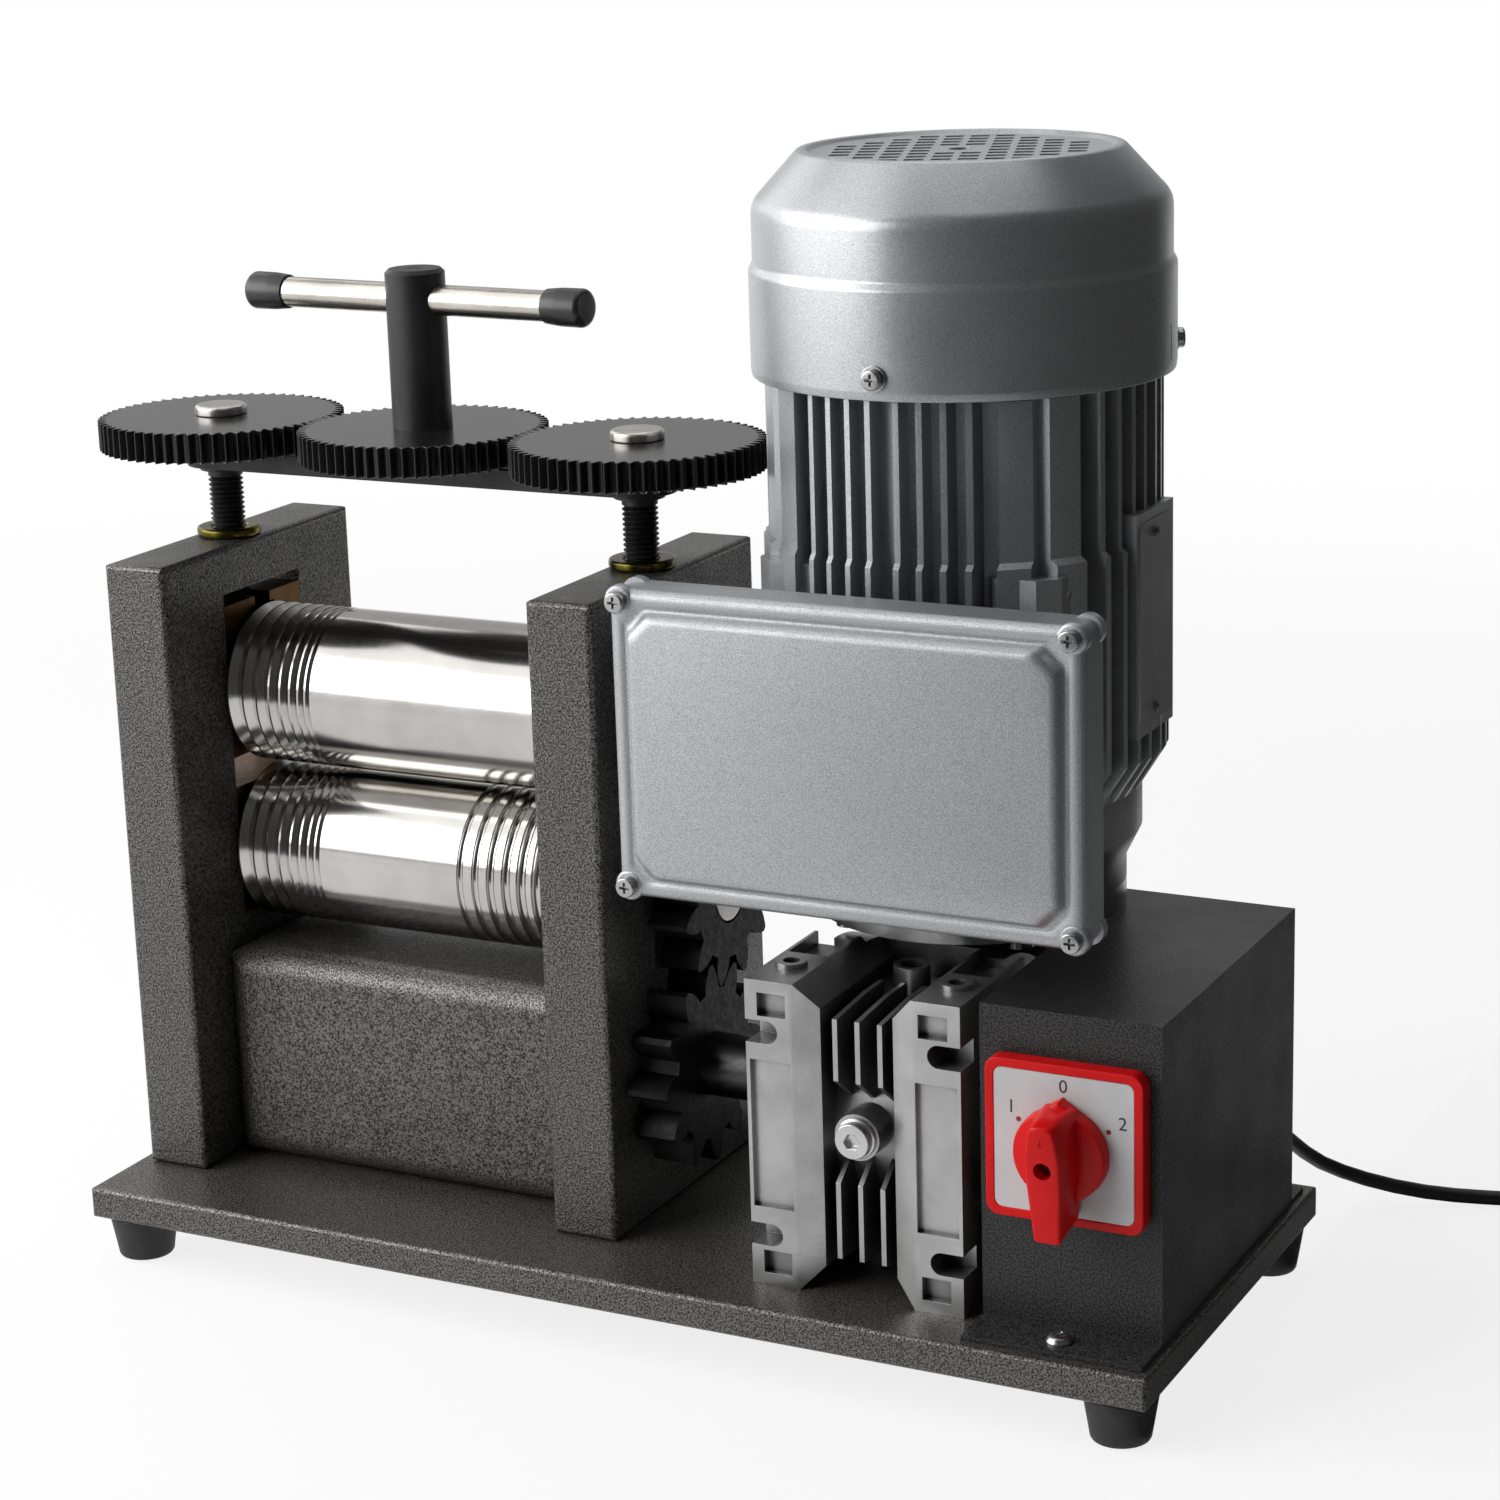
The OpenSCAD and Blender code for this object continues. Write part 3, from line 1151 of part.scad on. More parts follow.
module grille() {
  circle(grille_hole_r);
  rotate(grille_turn) for (p = grille_places) translate(p)
    square([grille_slot_w, grille_slot_h], center = true);
}
module fan_cover() color("#aaacae") at_motor() translate([0, 0, cover_z]) difference() {
  turned(cover_outside);
  turned(cover_inside);
  translate([0, 0, grille_z - 2 * cover_wall]) linear_extrude(3 * cover_wall) grille();
  for (a = [0, 120, 240]) rotate(a) translate([0, 0, cover_screw_z - cover_z])
    along_y(-cover_r - cut, -cover_r + 2 * cover_wall, small_screw_r + bolt_clear);
}
module fan_cover_screws() color("#b0b2b4") at_motor() for (a = [0, 120, 240]) rotate(a)
  translate([0, 0, cover_screw_z]) {
    along_y(-cover_r - small_washer_h - small_head_h, -cover_r - small_washer_h, small_head_r);
    along_y(-cover_r - small_washer_h, -cover_r, small_washer_r);
    along_y(-cover_r - cut, -cover_r + cover_wall + small_bite - cut, small_screw_r);
  }

// Terminal box, drawn with its front towards -Z and turned to face the front
module face_front(depth) at_motor() translate([0, -depth, terminal_z]) rotate([90, 0, 0]) children();
module at_terminal_screws() for (sx = [-1, 1], sz = [-1, 1])
  translate([sx * screw_half_w, sz * screw_half_h, 0]) children();
terminal_back = terminal_reach - terminal_cover_d;
body_back = pad_front;
module terminal_box() color("#a0a2a4") difference() {
  union() {
    face_front(body_back) prism(terminal_body_w, terminal_body_h, terminal_back - body_back, terminal_round);
    face_front(terminal_back - terminal_flange_t) linear_extrude(terminal_flange_t) {
      rounded_rect(terminal_w, terminal_h, terminal_round);
      at_terminal_screws() circle(screw_boss_r);
    }
  }
  face_front(body_back + terminal_wall) prism(terminal_body_w - 2 * terminal_wall,
    terminal_body_h - 2 * terminal_wall, terminal_back, terminal_round - terminal_wall);
  face_front(body_back) at_terminal_screws() cylinder(r = small_screw_r + seat_fit, h = terminal_back);
}
module terminal_cover() color("#a6a8aa") difference() {
  union() {
    face_front(terminal_back) linear_extrude(terminal_cover_d) {
      rounded_rect(terminal_w, terminal_h, terminal_round);
      at_terminal_screws() circle(screw_boss_r);
    }
    face_front(terminal_reach - cut) linear_extrude(panel_h + cut) difference() {
      square([terminal_w - 2 * panel_inset, terminal_h - 2 * panel_inset], center = true);
      for (sx = [-1, 1], sz = [-1, 1])
        translate([sx * (terminal_w / 2 - panel_inset), sz * (terminal_h / 2 - panel_inset)])
          rotate(45) square(panel_cut * sqrt(2), center = true);
    }
  }
  face_front(terminal_back - cut) prism(terminal_body_w - 2 * terminal_wall,
    terminal_body_h - 2 * terminal_wall, terminal_cover_d - terminal_wall + cut,
    terminal_round - terminal_wall);
  face_front(terminal_back - cut) at_terminal_screws()
    cylinder(r = small_screw_r + bolt_clear, h = terminal_cover_d + 2 * cut);
}
module terminal_screws() color("#c0c2c4") face_front(terminal_reach) at_terminal_screws() {
  cylinder(r = small_head_r, h = terminal_head_h);
  translate([0, 0, seat_fit - terminal_cover_d - terminal_flange_t])
    cylinder(r = small_screw_r, h = terminal_cover_d + terminal_flange_t + cut);
}
module run_capacitor() color("#d0d0cc") at_motor()
  translate([0, -body_back - terminal_wall - capacitor_r - running_fit, terminal_z])
    along_x(-capacitor_len / 2, capacitor_len / 2, capacitor_r);

// Switch box and what it carries
box_screw_rows = [box_y - box_screw_y, box_back + back_flange / 2];
module switch_box() color("#1c1c1e") difference() {
  union() {
    box([box_x, box_x + box_w], [box_y, box_back], [deck_z, deck_z + box_h]);
    box([box_x, box_x + box_w], [box_y - front_flange, box_back + back_flange],
      [deck_z, deck_z + box_flange_t]);
  }
  box([box_x + box_wall, box_x + box_w - box_wall], [box_y + box_wall, box_back - box_wall],
    [deck_z - cut, deck_z + box_h - box_wall]);
  translate([box_mid_x, 0, knob_z]) along_y(box_y - cut, box_y + 2 * box_wall, switch_hole_r);
  translate([gland_x, 0, gland_z]) along_y(box_back - 2 * box_wall, box_back + cut, gland_r + seat_fit);
  for (y = box_screw_rows) translate([box_mid_x, y, deck_z - cut])
    cylinder(r = box_screw_r + bolt_clear, h = box_flange_t + 2 * cut);
}
module box_screws() color("#b8babc") for (y = box_screw_rows)
  translate([box_mid_x, y, deck_z + box_flange_t]) {
    cylinder(r = box_screw_head_r, h = box_screw_head_h);
    translate([0, 0, -box_flange_t - box_screw_bite + cut])
      cylinder(r = box_screw_r, h = box_flange_t + box_screw_bite);
  }
knob_z = deck_z + plate_z - knob_drop;
module switch_body() color("#d8d4c8") difference() {
  translate([box_mid_x, 0, knob_z]) union() {
    box([-switch_body_w / 2, switch_body_w / 2], [box_y + box_wall, box_y + box_wall + switch_body_d],
      [-switch_body_w / 2, switch_body_w / 2]);
    along_y(box_y, box_y + box_wall + cut, switch_hole_r - bolt_clear);
  }
  translate([box_mid_x, 0, knob_z]) along_y(box_y - cut, box_y + knob_shaft_len, knob_shaft_r + running_fit);
}
module switch_plate() color("#c81e1e") difference() {
  translate([box_mid_x, box_y, deck_z + plate_z]) rotate([90, 0, 0]) difference() {
    prism(plate_w, plate_w, plate_t, plate_round);
    translate([0, 0, plate_t - dial_d]) prism(dial_w, dial_w, plate_t, dial_round);
  }
  translate([box_mid_x, 0, knob_z]) along_y(plate_front - cut, box_y + cut, knob_shaft_r + turning_gap);
}
knob_outline = [[0, knob_tip], [knob_grip_w / 2, knob_shoulder], [knob_grip_w / 2, -knob_tip / 2],
  [knob_tail_w / 2, -knob_tail], [-knob_tail_w / 2, -knob_tail], [-knob_grip_w / 2, -knob_tip / 2],
  [-knob_grip_w / 2, knob_shoulder]];
module switch_knob() color("#d01818")
  translate([box_mid_x, plate_front - knob_gap, knob_z]) rotate([90, 0, 0]) {
    cylinder(d = knob_d, h = knob_disc_h);
    linear_extrude(knob_h) polygon(knob_outline);
    translate([0, 0, -knob_gap - plate_t - knob_shaft_len + cut])
      cylinder(r = knob_shaft_r, h = knob_gap + plate_t + knob_shaft_len);
  }

module cable_gland() color("#1a1a1a") translate([gland_x, box_back, gland_z]) rotate([-90, 0, 0]) {
  translate([0, 0, -gland_inside]) cylinder(r = gland_r, h = gland_inside + cut);
  cylinder(r = gland_nut_r, h = gland_nut_h, $fn = 6);
  translate([0, 0, gland_nut_h - seat_fit])
    cylinder(r1 = gland_r, r2 = gland_tip_r, h = gland_taper + seat_fit);
}
module mains_cord() color("#101010") tube(cord_route, cord_r, cord_sides);
module cord_coil() color("#101010") tube(coil_path, cord_r, coil_sides);
// The tie goes round both layers of the coil at its right hand side
module cord_tie() color("#202020") translate([coil_centre.x, coil_centre.y, 0])
  rotate(tie_turn) rotate([90, 0, 0]) translate([0, 0, -tie_w / 2]) linear_extrude(tie_w) difference() {
    translate([tie_near, 0]) square([tie_far - tie_near, tie_high]);
    translate([tie_near + tie_t, tie_t]) square([tie_far - tie_near - 2 * tie_t, tie_high - 2 * tie_t]);
  }
tie_turn = 45;
tie_near = coil_inner - cord_r - tie_gap - tie_t - 1;
tie_far = coil_outer + cord_r + tie_gap + tie_t;
tie_high = coil_top + cord_r + tie_gap + tie_t;
module plug() color("#161616") translate(plug_start) rotate([90, 0, 0]) {
  cylinder(r1 = plug_neck_r, r2 = plug_relief_r, h = plug_relief);
  translate([0, 0, plug_relief - seat_fit]) cylinder(r = plug_body_r, h = plug_body_len + seat_fit);
  for (side = [-1, 1]) translate([side * pin_half, 0, plug_relief + plug_body_len + pin_len / 2 - cut])
    cube([pin_t, pin_w, pin_len + cut], center = true);
}

module place() translate([-origin_x, -origin_y, 0]) children();
place() base_plate();
place() rubber_feet();
place() base_bolts();
place() left_cheek();
place() right_cheek();
place() spacer_block();
place() lower_blocks();
place() upper_blocks();
place() lower_roll();
place() lower_roll_gear();
place() upper_roll();
place() upper_roll_gear();
place() screw_nuts();
place() left_screw();
place() left_screw_gear();
place() left_gear_cap();
place() right_screw();
place() right_screw_gear();
place() right_gear_cap();
place() link_bar();
place() centre_gear();
place() handle_post();
place() handle_bar();
place() bar_caps();
place() reducer_housing();
place() side_covers();
place() side_cover_screws();
place() output_seals();
place() output_bearings();
place() worm_wheel();
place() output_shaft();
place() shaft_keys();
place() drive_gear();
place() worm_shaft();
place() worm_bearings();
place() oil_plug();
place() motor_frame();
place() drive_end_shield();
place() rear_end_shield();
place() stator();
place() rotor();
place() motor_bearings();
place() cooling_fan();
place() fan_cover();
place() fan_cover_screws();
place() flange_bolts();
place() terminal_box();
place() terminal_cover();
place() terminal_screws();
place() run_capacitor();
place() switch_box();
place() box_screws();
place() switch_body();
place() switch_plate();
place() switch_knob();
place() cable_gland();
place() mains_cord();
place() cord_coil();
place() cord_tie();
place() plug();
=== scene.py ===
"""Looks of an electric rolling mill: finishes, small details, the mains cord, light and camera."""
import json
import math

import bmesh
import bpy
from mathutils import Matrix, Vector

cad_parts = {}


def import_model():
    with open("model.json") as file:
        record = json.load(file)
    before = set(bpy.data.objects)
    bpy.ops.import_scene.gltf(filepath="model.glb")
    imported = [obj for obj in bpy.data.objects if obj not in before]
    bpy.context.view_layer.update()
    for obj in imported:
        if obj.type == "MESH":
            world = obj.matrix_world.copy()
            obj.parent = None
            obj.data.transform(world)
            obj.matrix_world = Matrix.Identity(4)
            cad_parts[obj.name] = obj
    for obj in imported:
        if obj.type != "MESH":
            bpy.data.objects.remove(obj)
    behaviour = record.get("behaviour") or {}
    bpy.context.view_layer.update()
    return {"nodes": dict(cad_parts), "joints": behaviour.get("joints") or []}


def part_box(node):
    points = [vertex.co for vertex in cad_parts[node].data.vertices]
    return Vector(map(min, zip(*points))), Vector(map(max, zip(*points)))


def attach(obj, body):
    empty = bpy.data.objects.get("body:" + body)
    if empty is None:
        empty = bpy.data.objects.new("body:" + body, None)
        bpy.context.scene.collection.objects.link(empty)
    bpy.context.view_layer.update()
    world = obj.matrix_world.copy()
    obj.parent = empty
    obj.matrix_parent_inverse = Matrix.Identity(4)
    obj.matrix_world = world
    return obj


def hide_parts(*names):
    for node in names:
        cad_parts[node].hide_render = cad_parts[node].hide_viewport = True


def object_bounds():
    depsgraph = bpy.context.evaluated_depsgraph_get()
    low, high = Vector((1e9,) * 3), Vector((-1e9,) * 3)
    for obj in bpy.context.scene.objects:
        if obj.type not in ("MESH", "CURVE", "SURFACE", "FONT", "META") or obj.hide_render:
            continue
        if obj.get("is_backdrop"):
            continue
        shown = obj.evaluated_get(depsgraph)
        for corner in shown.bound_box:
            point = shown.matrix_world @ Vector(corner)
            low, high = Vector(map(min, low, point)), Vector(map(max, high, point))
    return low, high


MM = 0.001

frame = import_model()
nodes = frame["nodes"]

# The machine is drawn about its base's centre and the roll axis, and the part's frame lies this far off
SHIFT_X = 14.85
SHIFT_Y = -3.8


def point(x, y, z):
    """A point of the machine's drawing, in millimetres, in the part's frame."""
    return Vector(((x + SHIFT_X) * MM, (y + SHIFT_Y) * MM, z * MM))


# Shader building blocks
def new_material(name):
    material = bpy.data.materials.new(name)
    material.use_nodes = True
    return material, material.node_tree, material.node_tree.nodes["Principled BSDF"]


def shader(tree, kind, **inputs):
    """A shader node with the named sockets set to constants or linked to outputs."""
    node = tree.nodes.new(kind)
    for key, value in inputs.items():
        socket = node.inputs[key.replace("_", " ")]
        if isinstance(value, bpy.types.NodeSocket):
            tree.links.new(value, socket)
        else:
            socket.default_value = value
    return node


def object_vector(tree, scale=(1, 1, 1)):
    coordinates = tree.nodes.new("ShaderNodeTexCoord")
    mapping = shader(tree, "ShaderNodeMapping", Vector=coordinates.outputs["Object"], Scale=scale)
    return mapping.outputs["Vector"]


def noise(tree, vector, scale, detail=2.0, roughness=0.5):
    node = shader(tree, "ShaderNodeTexNoise", Vector=vector, Scale=scale, Detail=detail, Roughness=roughness)
    return node.outputs["Fac"]


def cells(tree, vector, scale, smoothness=0.6):
    node = tree.nodes.new("ShaderNodeTexVoronoi")
    node.feature = "SMOOTH_F1"
    node.inputs["Scale"].default_value = scale
    node.inputs["Smoothness"].default_value = smoothness
    tree.links.new(vector, node.inputs["Vector"])
    return node.outputs["Distance"]


def ramp(tree, factor, *stops):
    """A colour ramp through (position, colour) stops."""
    node = tree.nodes.new("ShaderNodeValToRGB")
    tree.links.new(factor, node.inputs["Fac"])
    for element, (position, colour) in zip(node.color_ramp.elements, stops):
        element.position = position
        element.color = (*colour, 1)
    return node.outputs["Color"]


def spread(tree, factor, low, high, start=0.3, end=0.7, kind="LINEAR"):
    """The factor's middle range spread out between two values."""
    node = shader(tree, "ShaderNodeMapRange", Value=factor, From_Min=start, From_Max=end, To_Min=low,
                  To_Max=high)
    node.interpolation_type = kind
    return node.outputs["Result"]


def bump(tree, height, strength, distance, below=None):
    node = shader(tree, "ShaderNodeBump", Height=height, Strength=strength, Distance=distance)
    if below is not None:
        tree.links.new(below, node.inputs["Normal"])
    return node.outputs["Normal"]


def painted_hollow_shade(tree, colour, reach, least):
    """The colour, darkened towards a least share in recesses narrower than the reach: painted shade where
    the object's own surfaces occlude.
    """
    deep = 0.15
    open_air = 0.75
    hollow = tree.nodes.new("ShaderNodeAmbientOcclusion")
    hollow.samples = 8
    hollow.only_local = True
    hollow.inputs["Distance"].default_value = reach
    share = spread(tree, hollow.outputs["AO"], least, 1.0, deep, open_air)
    scaled = tree.nodes.new("ShaderNodeVectorMath")
    scaled.operation = "SCALE"
    tree.links.new(colour, scaled.inputs[0])
    tree.links.new(share, scaled.inputs["Scale"])
    return scaled.outputs["Vector"]


def dress(tree, bsdf, colour, roughness, normal):
    """Links a finish's colour, roughness and normal to its shader."""
    tree.links.new(colour, bsdf.inputs["Base Color"])
    tree.links.new(roughness, bsdf.inputs["Roughness"])
    tree.links.new(normal, bsdf.inputs["Normal"])


def grey(value):
    return (value, value, value)


def hammertone(name, dark, light, metallic=0.5, relief=0.4, gloss=0.5):
    """Thick glossy paint that dries in small dimples, with pale flecks between dark pits."""
    grain = 1350.0
    dimple_grain = 0.8 * grain
    cloud_grain = 30.0
    skin_depth = 0.0003
    material, tree, bsdf = new_material(name)
    vector = object_vector(tree)
    dimples = cells(tree, vector, dimple_grain)
    flecks = noise(tree, vector, grain, 2.0, 0.55)
    clouds = noise(tree, vector, cloud_grain, 3.0)
    colour = ramp(tree, flecks, (0.39, dark), (0.62, light))
    fine = bump(tree, flecks, relief, skin_depth)
    rough = spread(tree, clouds, 0.30, 0.42)
    dress(tree, bsdf, colour, rough, bump(tree, dimples, relief, skin_depth, fine))
    bsdf.inputs["Metallic"].default_value = metallic
    bsdf.inputs["Specular IOR Level"].default_value = gloss
    return material


def sparkle_paint(name, dark, light, roughness=0.36, hollow_shade_share=1.0):
    """Silver paint with fine metal flakes over a sand-cast skin, with painted shade darkening its recesses
    where a share below one is given.
    """
    flake_grain = 2300.0
    skin_grain = 900.0
    cloud_grain = 22.0
    skin_depth = 0.0003
    shade_reach = 0.02
    material, tree, bsdf = new_material(name)
    vector = object_vector(tree)
    flakes = noise(tree, vector, flake_grain, 2.0, 0.7)
    sand = noise(tree, vector, skin_grain, 3.0, 0.6)
    clouds = noise(tree, vector, cloud_grain, 3.0)
    colour = ramp(tree, flakes, (0.32, dark), (0.68, light))
    if hollow_shade_share < 1.0:
        colour = painted_hollow_shade(tree, colour, shade_reach, hollow_shade_share)
    rough = spread(tree, clouds, roughness - 0.05, roughness + 0.07)
    dress(tree, bsdf, colour, rough, bump(tree, sand, 0.16, skin_depth))
    bsdf.inputs["Metallic"].default_value = 0.75
    return material


def metal(name, dark, light, roughness, streak=(1, 1, 1), streak_scale=400.0, depth=0.05, metallic=1.0,
          hollow_shade_share=1.0):
    """Bare metal whose machining marks run along the axis with the smallest streak scale."""
    stain_grain = 45.0
    mark_depth = 0.0002
    shade_reach = 0.016
    material, tree, bsdf = new_material(name)
    marks = noise(tree, object_vector(tree, streak), streak_scale, 4.0, 0.6)
    stains = noise(tree, object_vector(tree), stain_grain, 3.0)
    colour = ramp(tree, stains, (0.3, dark), (0.68, light))
    # Where a share below one is given, the colour is darkened in recesses: painted shade.
    if hollow_shade_share < 1.0:
        colour = painted_hollow_shade(tree, colour, shade_reach, hollow_shade_share)
    rough = spread(tree, marks, roughness * 0.8, roughness * 1.25)
    dress(tree, bsdf, colour, rough, bump(tree, marks, depth, mark_depth))
    bsdf.inputs["Metallic"].default_value = metallic
    return material


def moulded(name, dark, light, roughness, grain=1200.0, depth=0.06, gloss=0.5):
    """Moulded plastic or rubber with a faint grain."""
    cloud_grain = 60.0
    grain_depth = 0.0002
    material, tree, bsdf = new_material(name)
    vector = object_vector(tree)
    fine = noise(tree, vector, grain, 3.0)
    clouds = noise(tree, vector, cloud_grain, 2.0)
    colour = ramp(tree, clouds, (0.3, dark), (0.7, light))
    rough = spread(tree, fine, roughness * 0.88, roughness * 1.12)
    dress(tree, bsdf, colour, rough, bump(tree, fine, depth, grain_depth))
    bsdf.inputs["Specular IOR Level"].default_value = gloss
    return material


# Finishes
stand_paint = hammertone("stand_paint", (0.012, 0.0116, 0.011), (0.190, 0.182, 0.174))
box_paint = hammertone("box_paint", grey(0.006), grey(0.062), metallic=0.0, relief=0.25, gloss=0.25)
silver = sparkle_paint("silver", (0.30, 0.305, 0.315), (0.55, 0.56, 0.575))
lid_silver = sparkle_paint("lid_silver", (0.26, 0.265, 0.275), (0.555, 0.565, 0.58), 0.46)
# The motor frame's paint, with painted shade in the grooves between its fins.
frame_silver = sparkle_paint("frame_silver", (0.30, 0.305, 0.314), (0.57, 0.579, 0.594), 0.40, 0.75)
# A darker copy of the silver paint for the end shields and lug eyes, which paints their shade, with painted
# shade in their recesses too.
shade_silver = sparkle_paint("shade_silver", grey(0.22), grey(0.42), 0.46, 0.5)
# Cast alloy of the gearbox, darkened strongly in its channel and between its fins: painted shade.
cast = metal("cast", grey(0.335), grey(0.46), 0.34, streak_scale=700.0, depth=0.12, metallic=0.85,
             hollow_shade_share=0.16)
roll_steel = metal("roll_steel", (0.47, 0.455, 0.435), (0.56, 0.545, 0.525), 0.15, (60, 1, 1), 60.0, 0.05)
bright_steel = metal("bright_steel", grey(0.45), grey(0.60), 0.30)
nickel = metal("nickel", (0.46, 0.43, 0.39), (0.60, 0.57, 0.52), 0.26, (1, 30, 30), 60.0)
cap_steel = metal("cap_steel", (0.42, 0.40, 0.37), (0.56, 0.54, 0.50), 0.32)
bronze = metal("bronze", (0.09, 0.042, 0.013), (0.20, 0.10, 0.032), 0.38)
# Greased bronze nuts: the near-black tone is partly grease and partly painted shade.
oiled_and_shaded_bronze = metal("oiled_and_shaded_bronze", (0.014, 0.012, 0.004), (0.20, 0.17, 0.03), 0.26)
# Iron gears, painted near black: partly their dark iron, partly painted shade of the gap between the cheek
# and the gearbox.
shaded_gear_iron = metal("shaded_gear_iron", grey(0.008), grey(0.022), 0.52, streak_scale=500.0, depth=0.10, metallic=0.85)
black_steel = metal("black_steel", grey(0.012), grey(0.03), 0.42, streak_scale=500.0, depth=0.10,
                    metallic=0.4)
gloss_black = moulded("gloss_black", grey(0.006), grey(0.013), 0.20, 900.0, 0.05)
satin_black = moulded("satin_black", grey(0.008), grey(0.016), 0.46, 700.0, 0.10, 0.4)
rubber = moulded("rubber", grey(0.010), grey(0.022), 0.62, 800.0, 0.12)
cord_rubber = moulded("cord_rubber", grey(0.008), grey(0.016), 0.46, 900.0, 0.08)
black_plastic = moulded("black_plastic", grey(0.010), grey(0.020), 0.40)
pale_plastic = moulded("pale_plastic", (0.60, 0.59, 0.54), (0.66, 0.65, 0.60), 0.45)
red_plastic = moulded("red_plastic", (0.62, 0.002, 0.003), (0.70, 0.004, 0.005), 0.36, 500.0, 0.04, 0.22)
dial_white = moulded("dial_white", (0.55, 0.56, 0.57), (0.61, 0.61, 0.62), 0.38)
# Black for the dial's print, and for the painted shade in the lug holes.
print_and_shade_black = moulded("print_and_shade_black", grey(0.012), grey(0.02), 0.5)
dot_red = moulded("dot_red", (0.22, 0.004, 0.02), (0.26, 0.006, 0.025), 0.4)
screw_steel = metal("screw_steel", grey(0.34), grey(0.46), 0.28)
dull_steel = metal("dull_steel", grey(0.14), grey(0.22), 0.38)
shaft_steel = metal("shaft_steel", grey(0.05), grey(0.09), 0.36)
plate_alloy = metal("plate_alloy", grey(0.34), grey(0.42), 0.40, (1, 40, 1), 60.0)
pin_brass = metal("pin_brass", (0.50, 0.36, 0.12), (0.66, 0.50, 0.20), 0.28)
cap_rubber = moulded("cap_rubber", grey(0.010), grey(0.018), 0.36, 700.0, 0.05)
strap_cloth = moulded("strap_cloth", grey(0.010), grey(0.024), 0.85, 1600.0, 0.5)
copper = metal("copper", (0.30, 0.12, 0.05), (0.48, 0.20, 0.09), 0.4)

FINISH = {
    stand_paint: ["base_plate", "left_cheek", "right_cheek", "spacer_block"],
    box_paint: ["switch_box"],
    silver: ["fan_cover"],
    lid_silver: ["terminal_box", "terminal_cover"],
    frame_silver: ["motor_frame"],
    shade_silver: ["drive_end_shield", "rear_end_shield"],
    cast: ["reducer_housing", "side_covers"],
    roll_steel: ["lower_roll", "upper_roll"],
    bright_steel: ["base_bolts", "side_cover_screws", "output_bearings", "shaft_keys", "worm_shaft",
                   "worm_bearings", "rotor", "motor_bearings", "fan_cover_screws", "flange_bolts",
                   "terminal_screws", "box_screws", "oil_plug"],
    shaft_steel: ["output_shaft"],
    nickel: ["handle_bar"],
    cap_steel: ["left_gear_cap", "right_gear_cap"],
    bronze: ["lower_blocks", "upper_blocks", "worm_wheel"],
    oiled_and_shaded_bronze: ["screw_nuts"],
    shaded_gear_iron: ["lower_roll_gear", "upper_roll_gear", "drive_gear"],
    black_steel: ["left_screw", "right_screw", "link_bar"],
    gloss_black: ["left_screw_gear", "right_screw_gear", "centre_gear"],
    satin_black: ["handle_post"],
    rubber: ["rubber_feet", "output_seals"],
    cord_rubber: ["mains_cord", "cord_coil"],
    black_plastic: ["bar_caps", "cooling_fan", "cable_gland", "cord_tie", "plug"],
    pale_plastic: ["run_capacitor", "switch_body"],
    red_plastic: ["switch_plate", "switch_knob"],
    copper: ["stator"],
}
for finish, names in FINISH.items():
    for name in names:
        nodes[name].data.materials.clear()
        nodes[name].data.materials.append(finish)


# Softened edges on the solids
def soften(name, width):
    """Welds a solid's mesh and rounds its sharp edges."""
    weld_reach = 1e-6
    flat_angle = 0.4
    sharp_angle = 30.0
    modifiers = nodes[name].modifiers
    weld = modifiers.new("weld", "WELD")
    weld.merge_threshold = weld_reach
    flats = modifiers.new("flats", "DECIMATE")
    flats.decimate_type = "DISSOLVE"
    flats.angle_limit = math.radians(flat_angle)
    bevel = modifiers.new("edge", "BEVEL")
    bevel.width = width * MM
    bevel.segments = 2
    bevel.limit_method = "ANGLE"
    bevel.angle_limit = math.radians(sharp_angle)
    bevel.use_clamp_overlap = True
    bevel.harden_normals = False
    normal = modifiers.new("normal", "WEIGHTED_NORMAL")
    normal.keep_sharp = False


SOFT_EDGES = {
    "base_plate": 0.8, "left_cheek": 0.8, "right_cheek": 0.8, "rubber_feet": 1.2, "reducer_housing": 0.7,
    "side_covers": 0.4, "oil_plug": 0.5, "motor_frame": 0.5, "drive_end_shield": 1.0, "terminal_box": 1.0,
    "switch_box": 1.2, "switch_plate": 1.3, "handle_post": 0.8, "link_bar": 0.6,
    "left_screw_gear": 0.3, "right_screw_gear": 0.3, "centre_gear": 0.3, "lower_roll_gear": 0.4,
    "upper_roll_gear": 0.4, "drive_gear": 0.4, "left_gear_cap": 0.5, "right_gear_cap": 0.5,
    "screw_nuts": 1.2,
}
for name, width in SOFT_EDGES.items():
    soften(name, width)


# Camera at the photograph's viewing angle
def camera():
    place = Vector((640.74, -1164.32, 570.52)) * MM
    ahead = Vector((-0.44155, 0.85772, -0.26337))
    right = Vector((0.89238, 0.45030, -0.02963))
    up = Vector((-0.09319, 0.24811, 0.96425))
    data = bpy.data.cameras.new("camera")
    data.lens = 84.47
    data.sensor_width = 36.0
    eye = bpy.data.objects.new("camera", data)
    turn = Matrix((right, up, -ahead)).transposed().to_4x4()
    eye.matrix_world = Matrix.Translation(place) @ turn
    bpy.context.scene.collection.objects.link(eye)
    bpy.context.scene.camera = eye


camera()


# Mesh building blocks, in millimetres
TINY = 1e-9
TAU = 2 * math.pi
TURN_STEPS = 64
FACE_FRONT = Matrix.Rotation(math.radians(90), 4, "X")
QUADRANTS = ((1, 1), (-1, 1), (-1, -1), (1, -1))


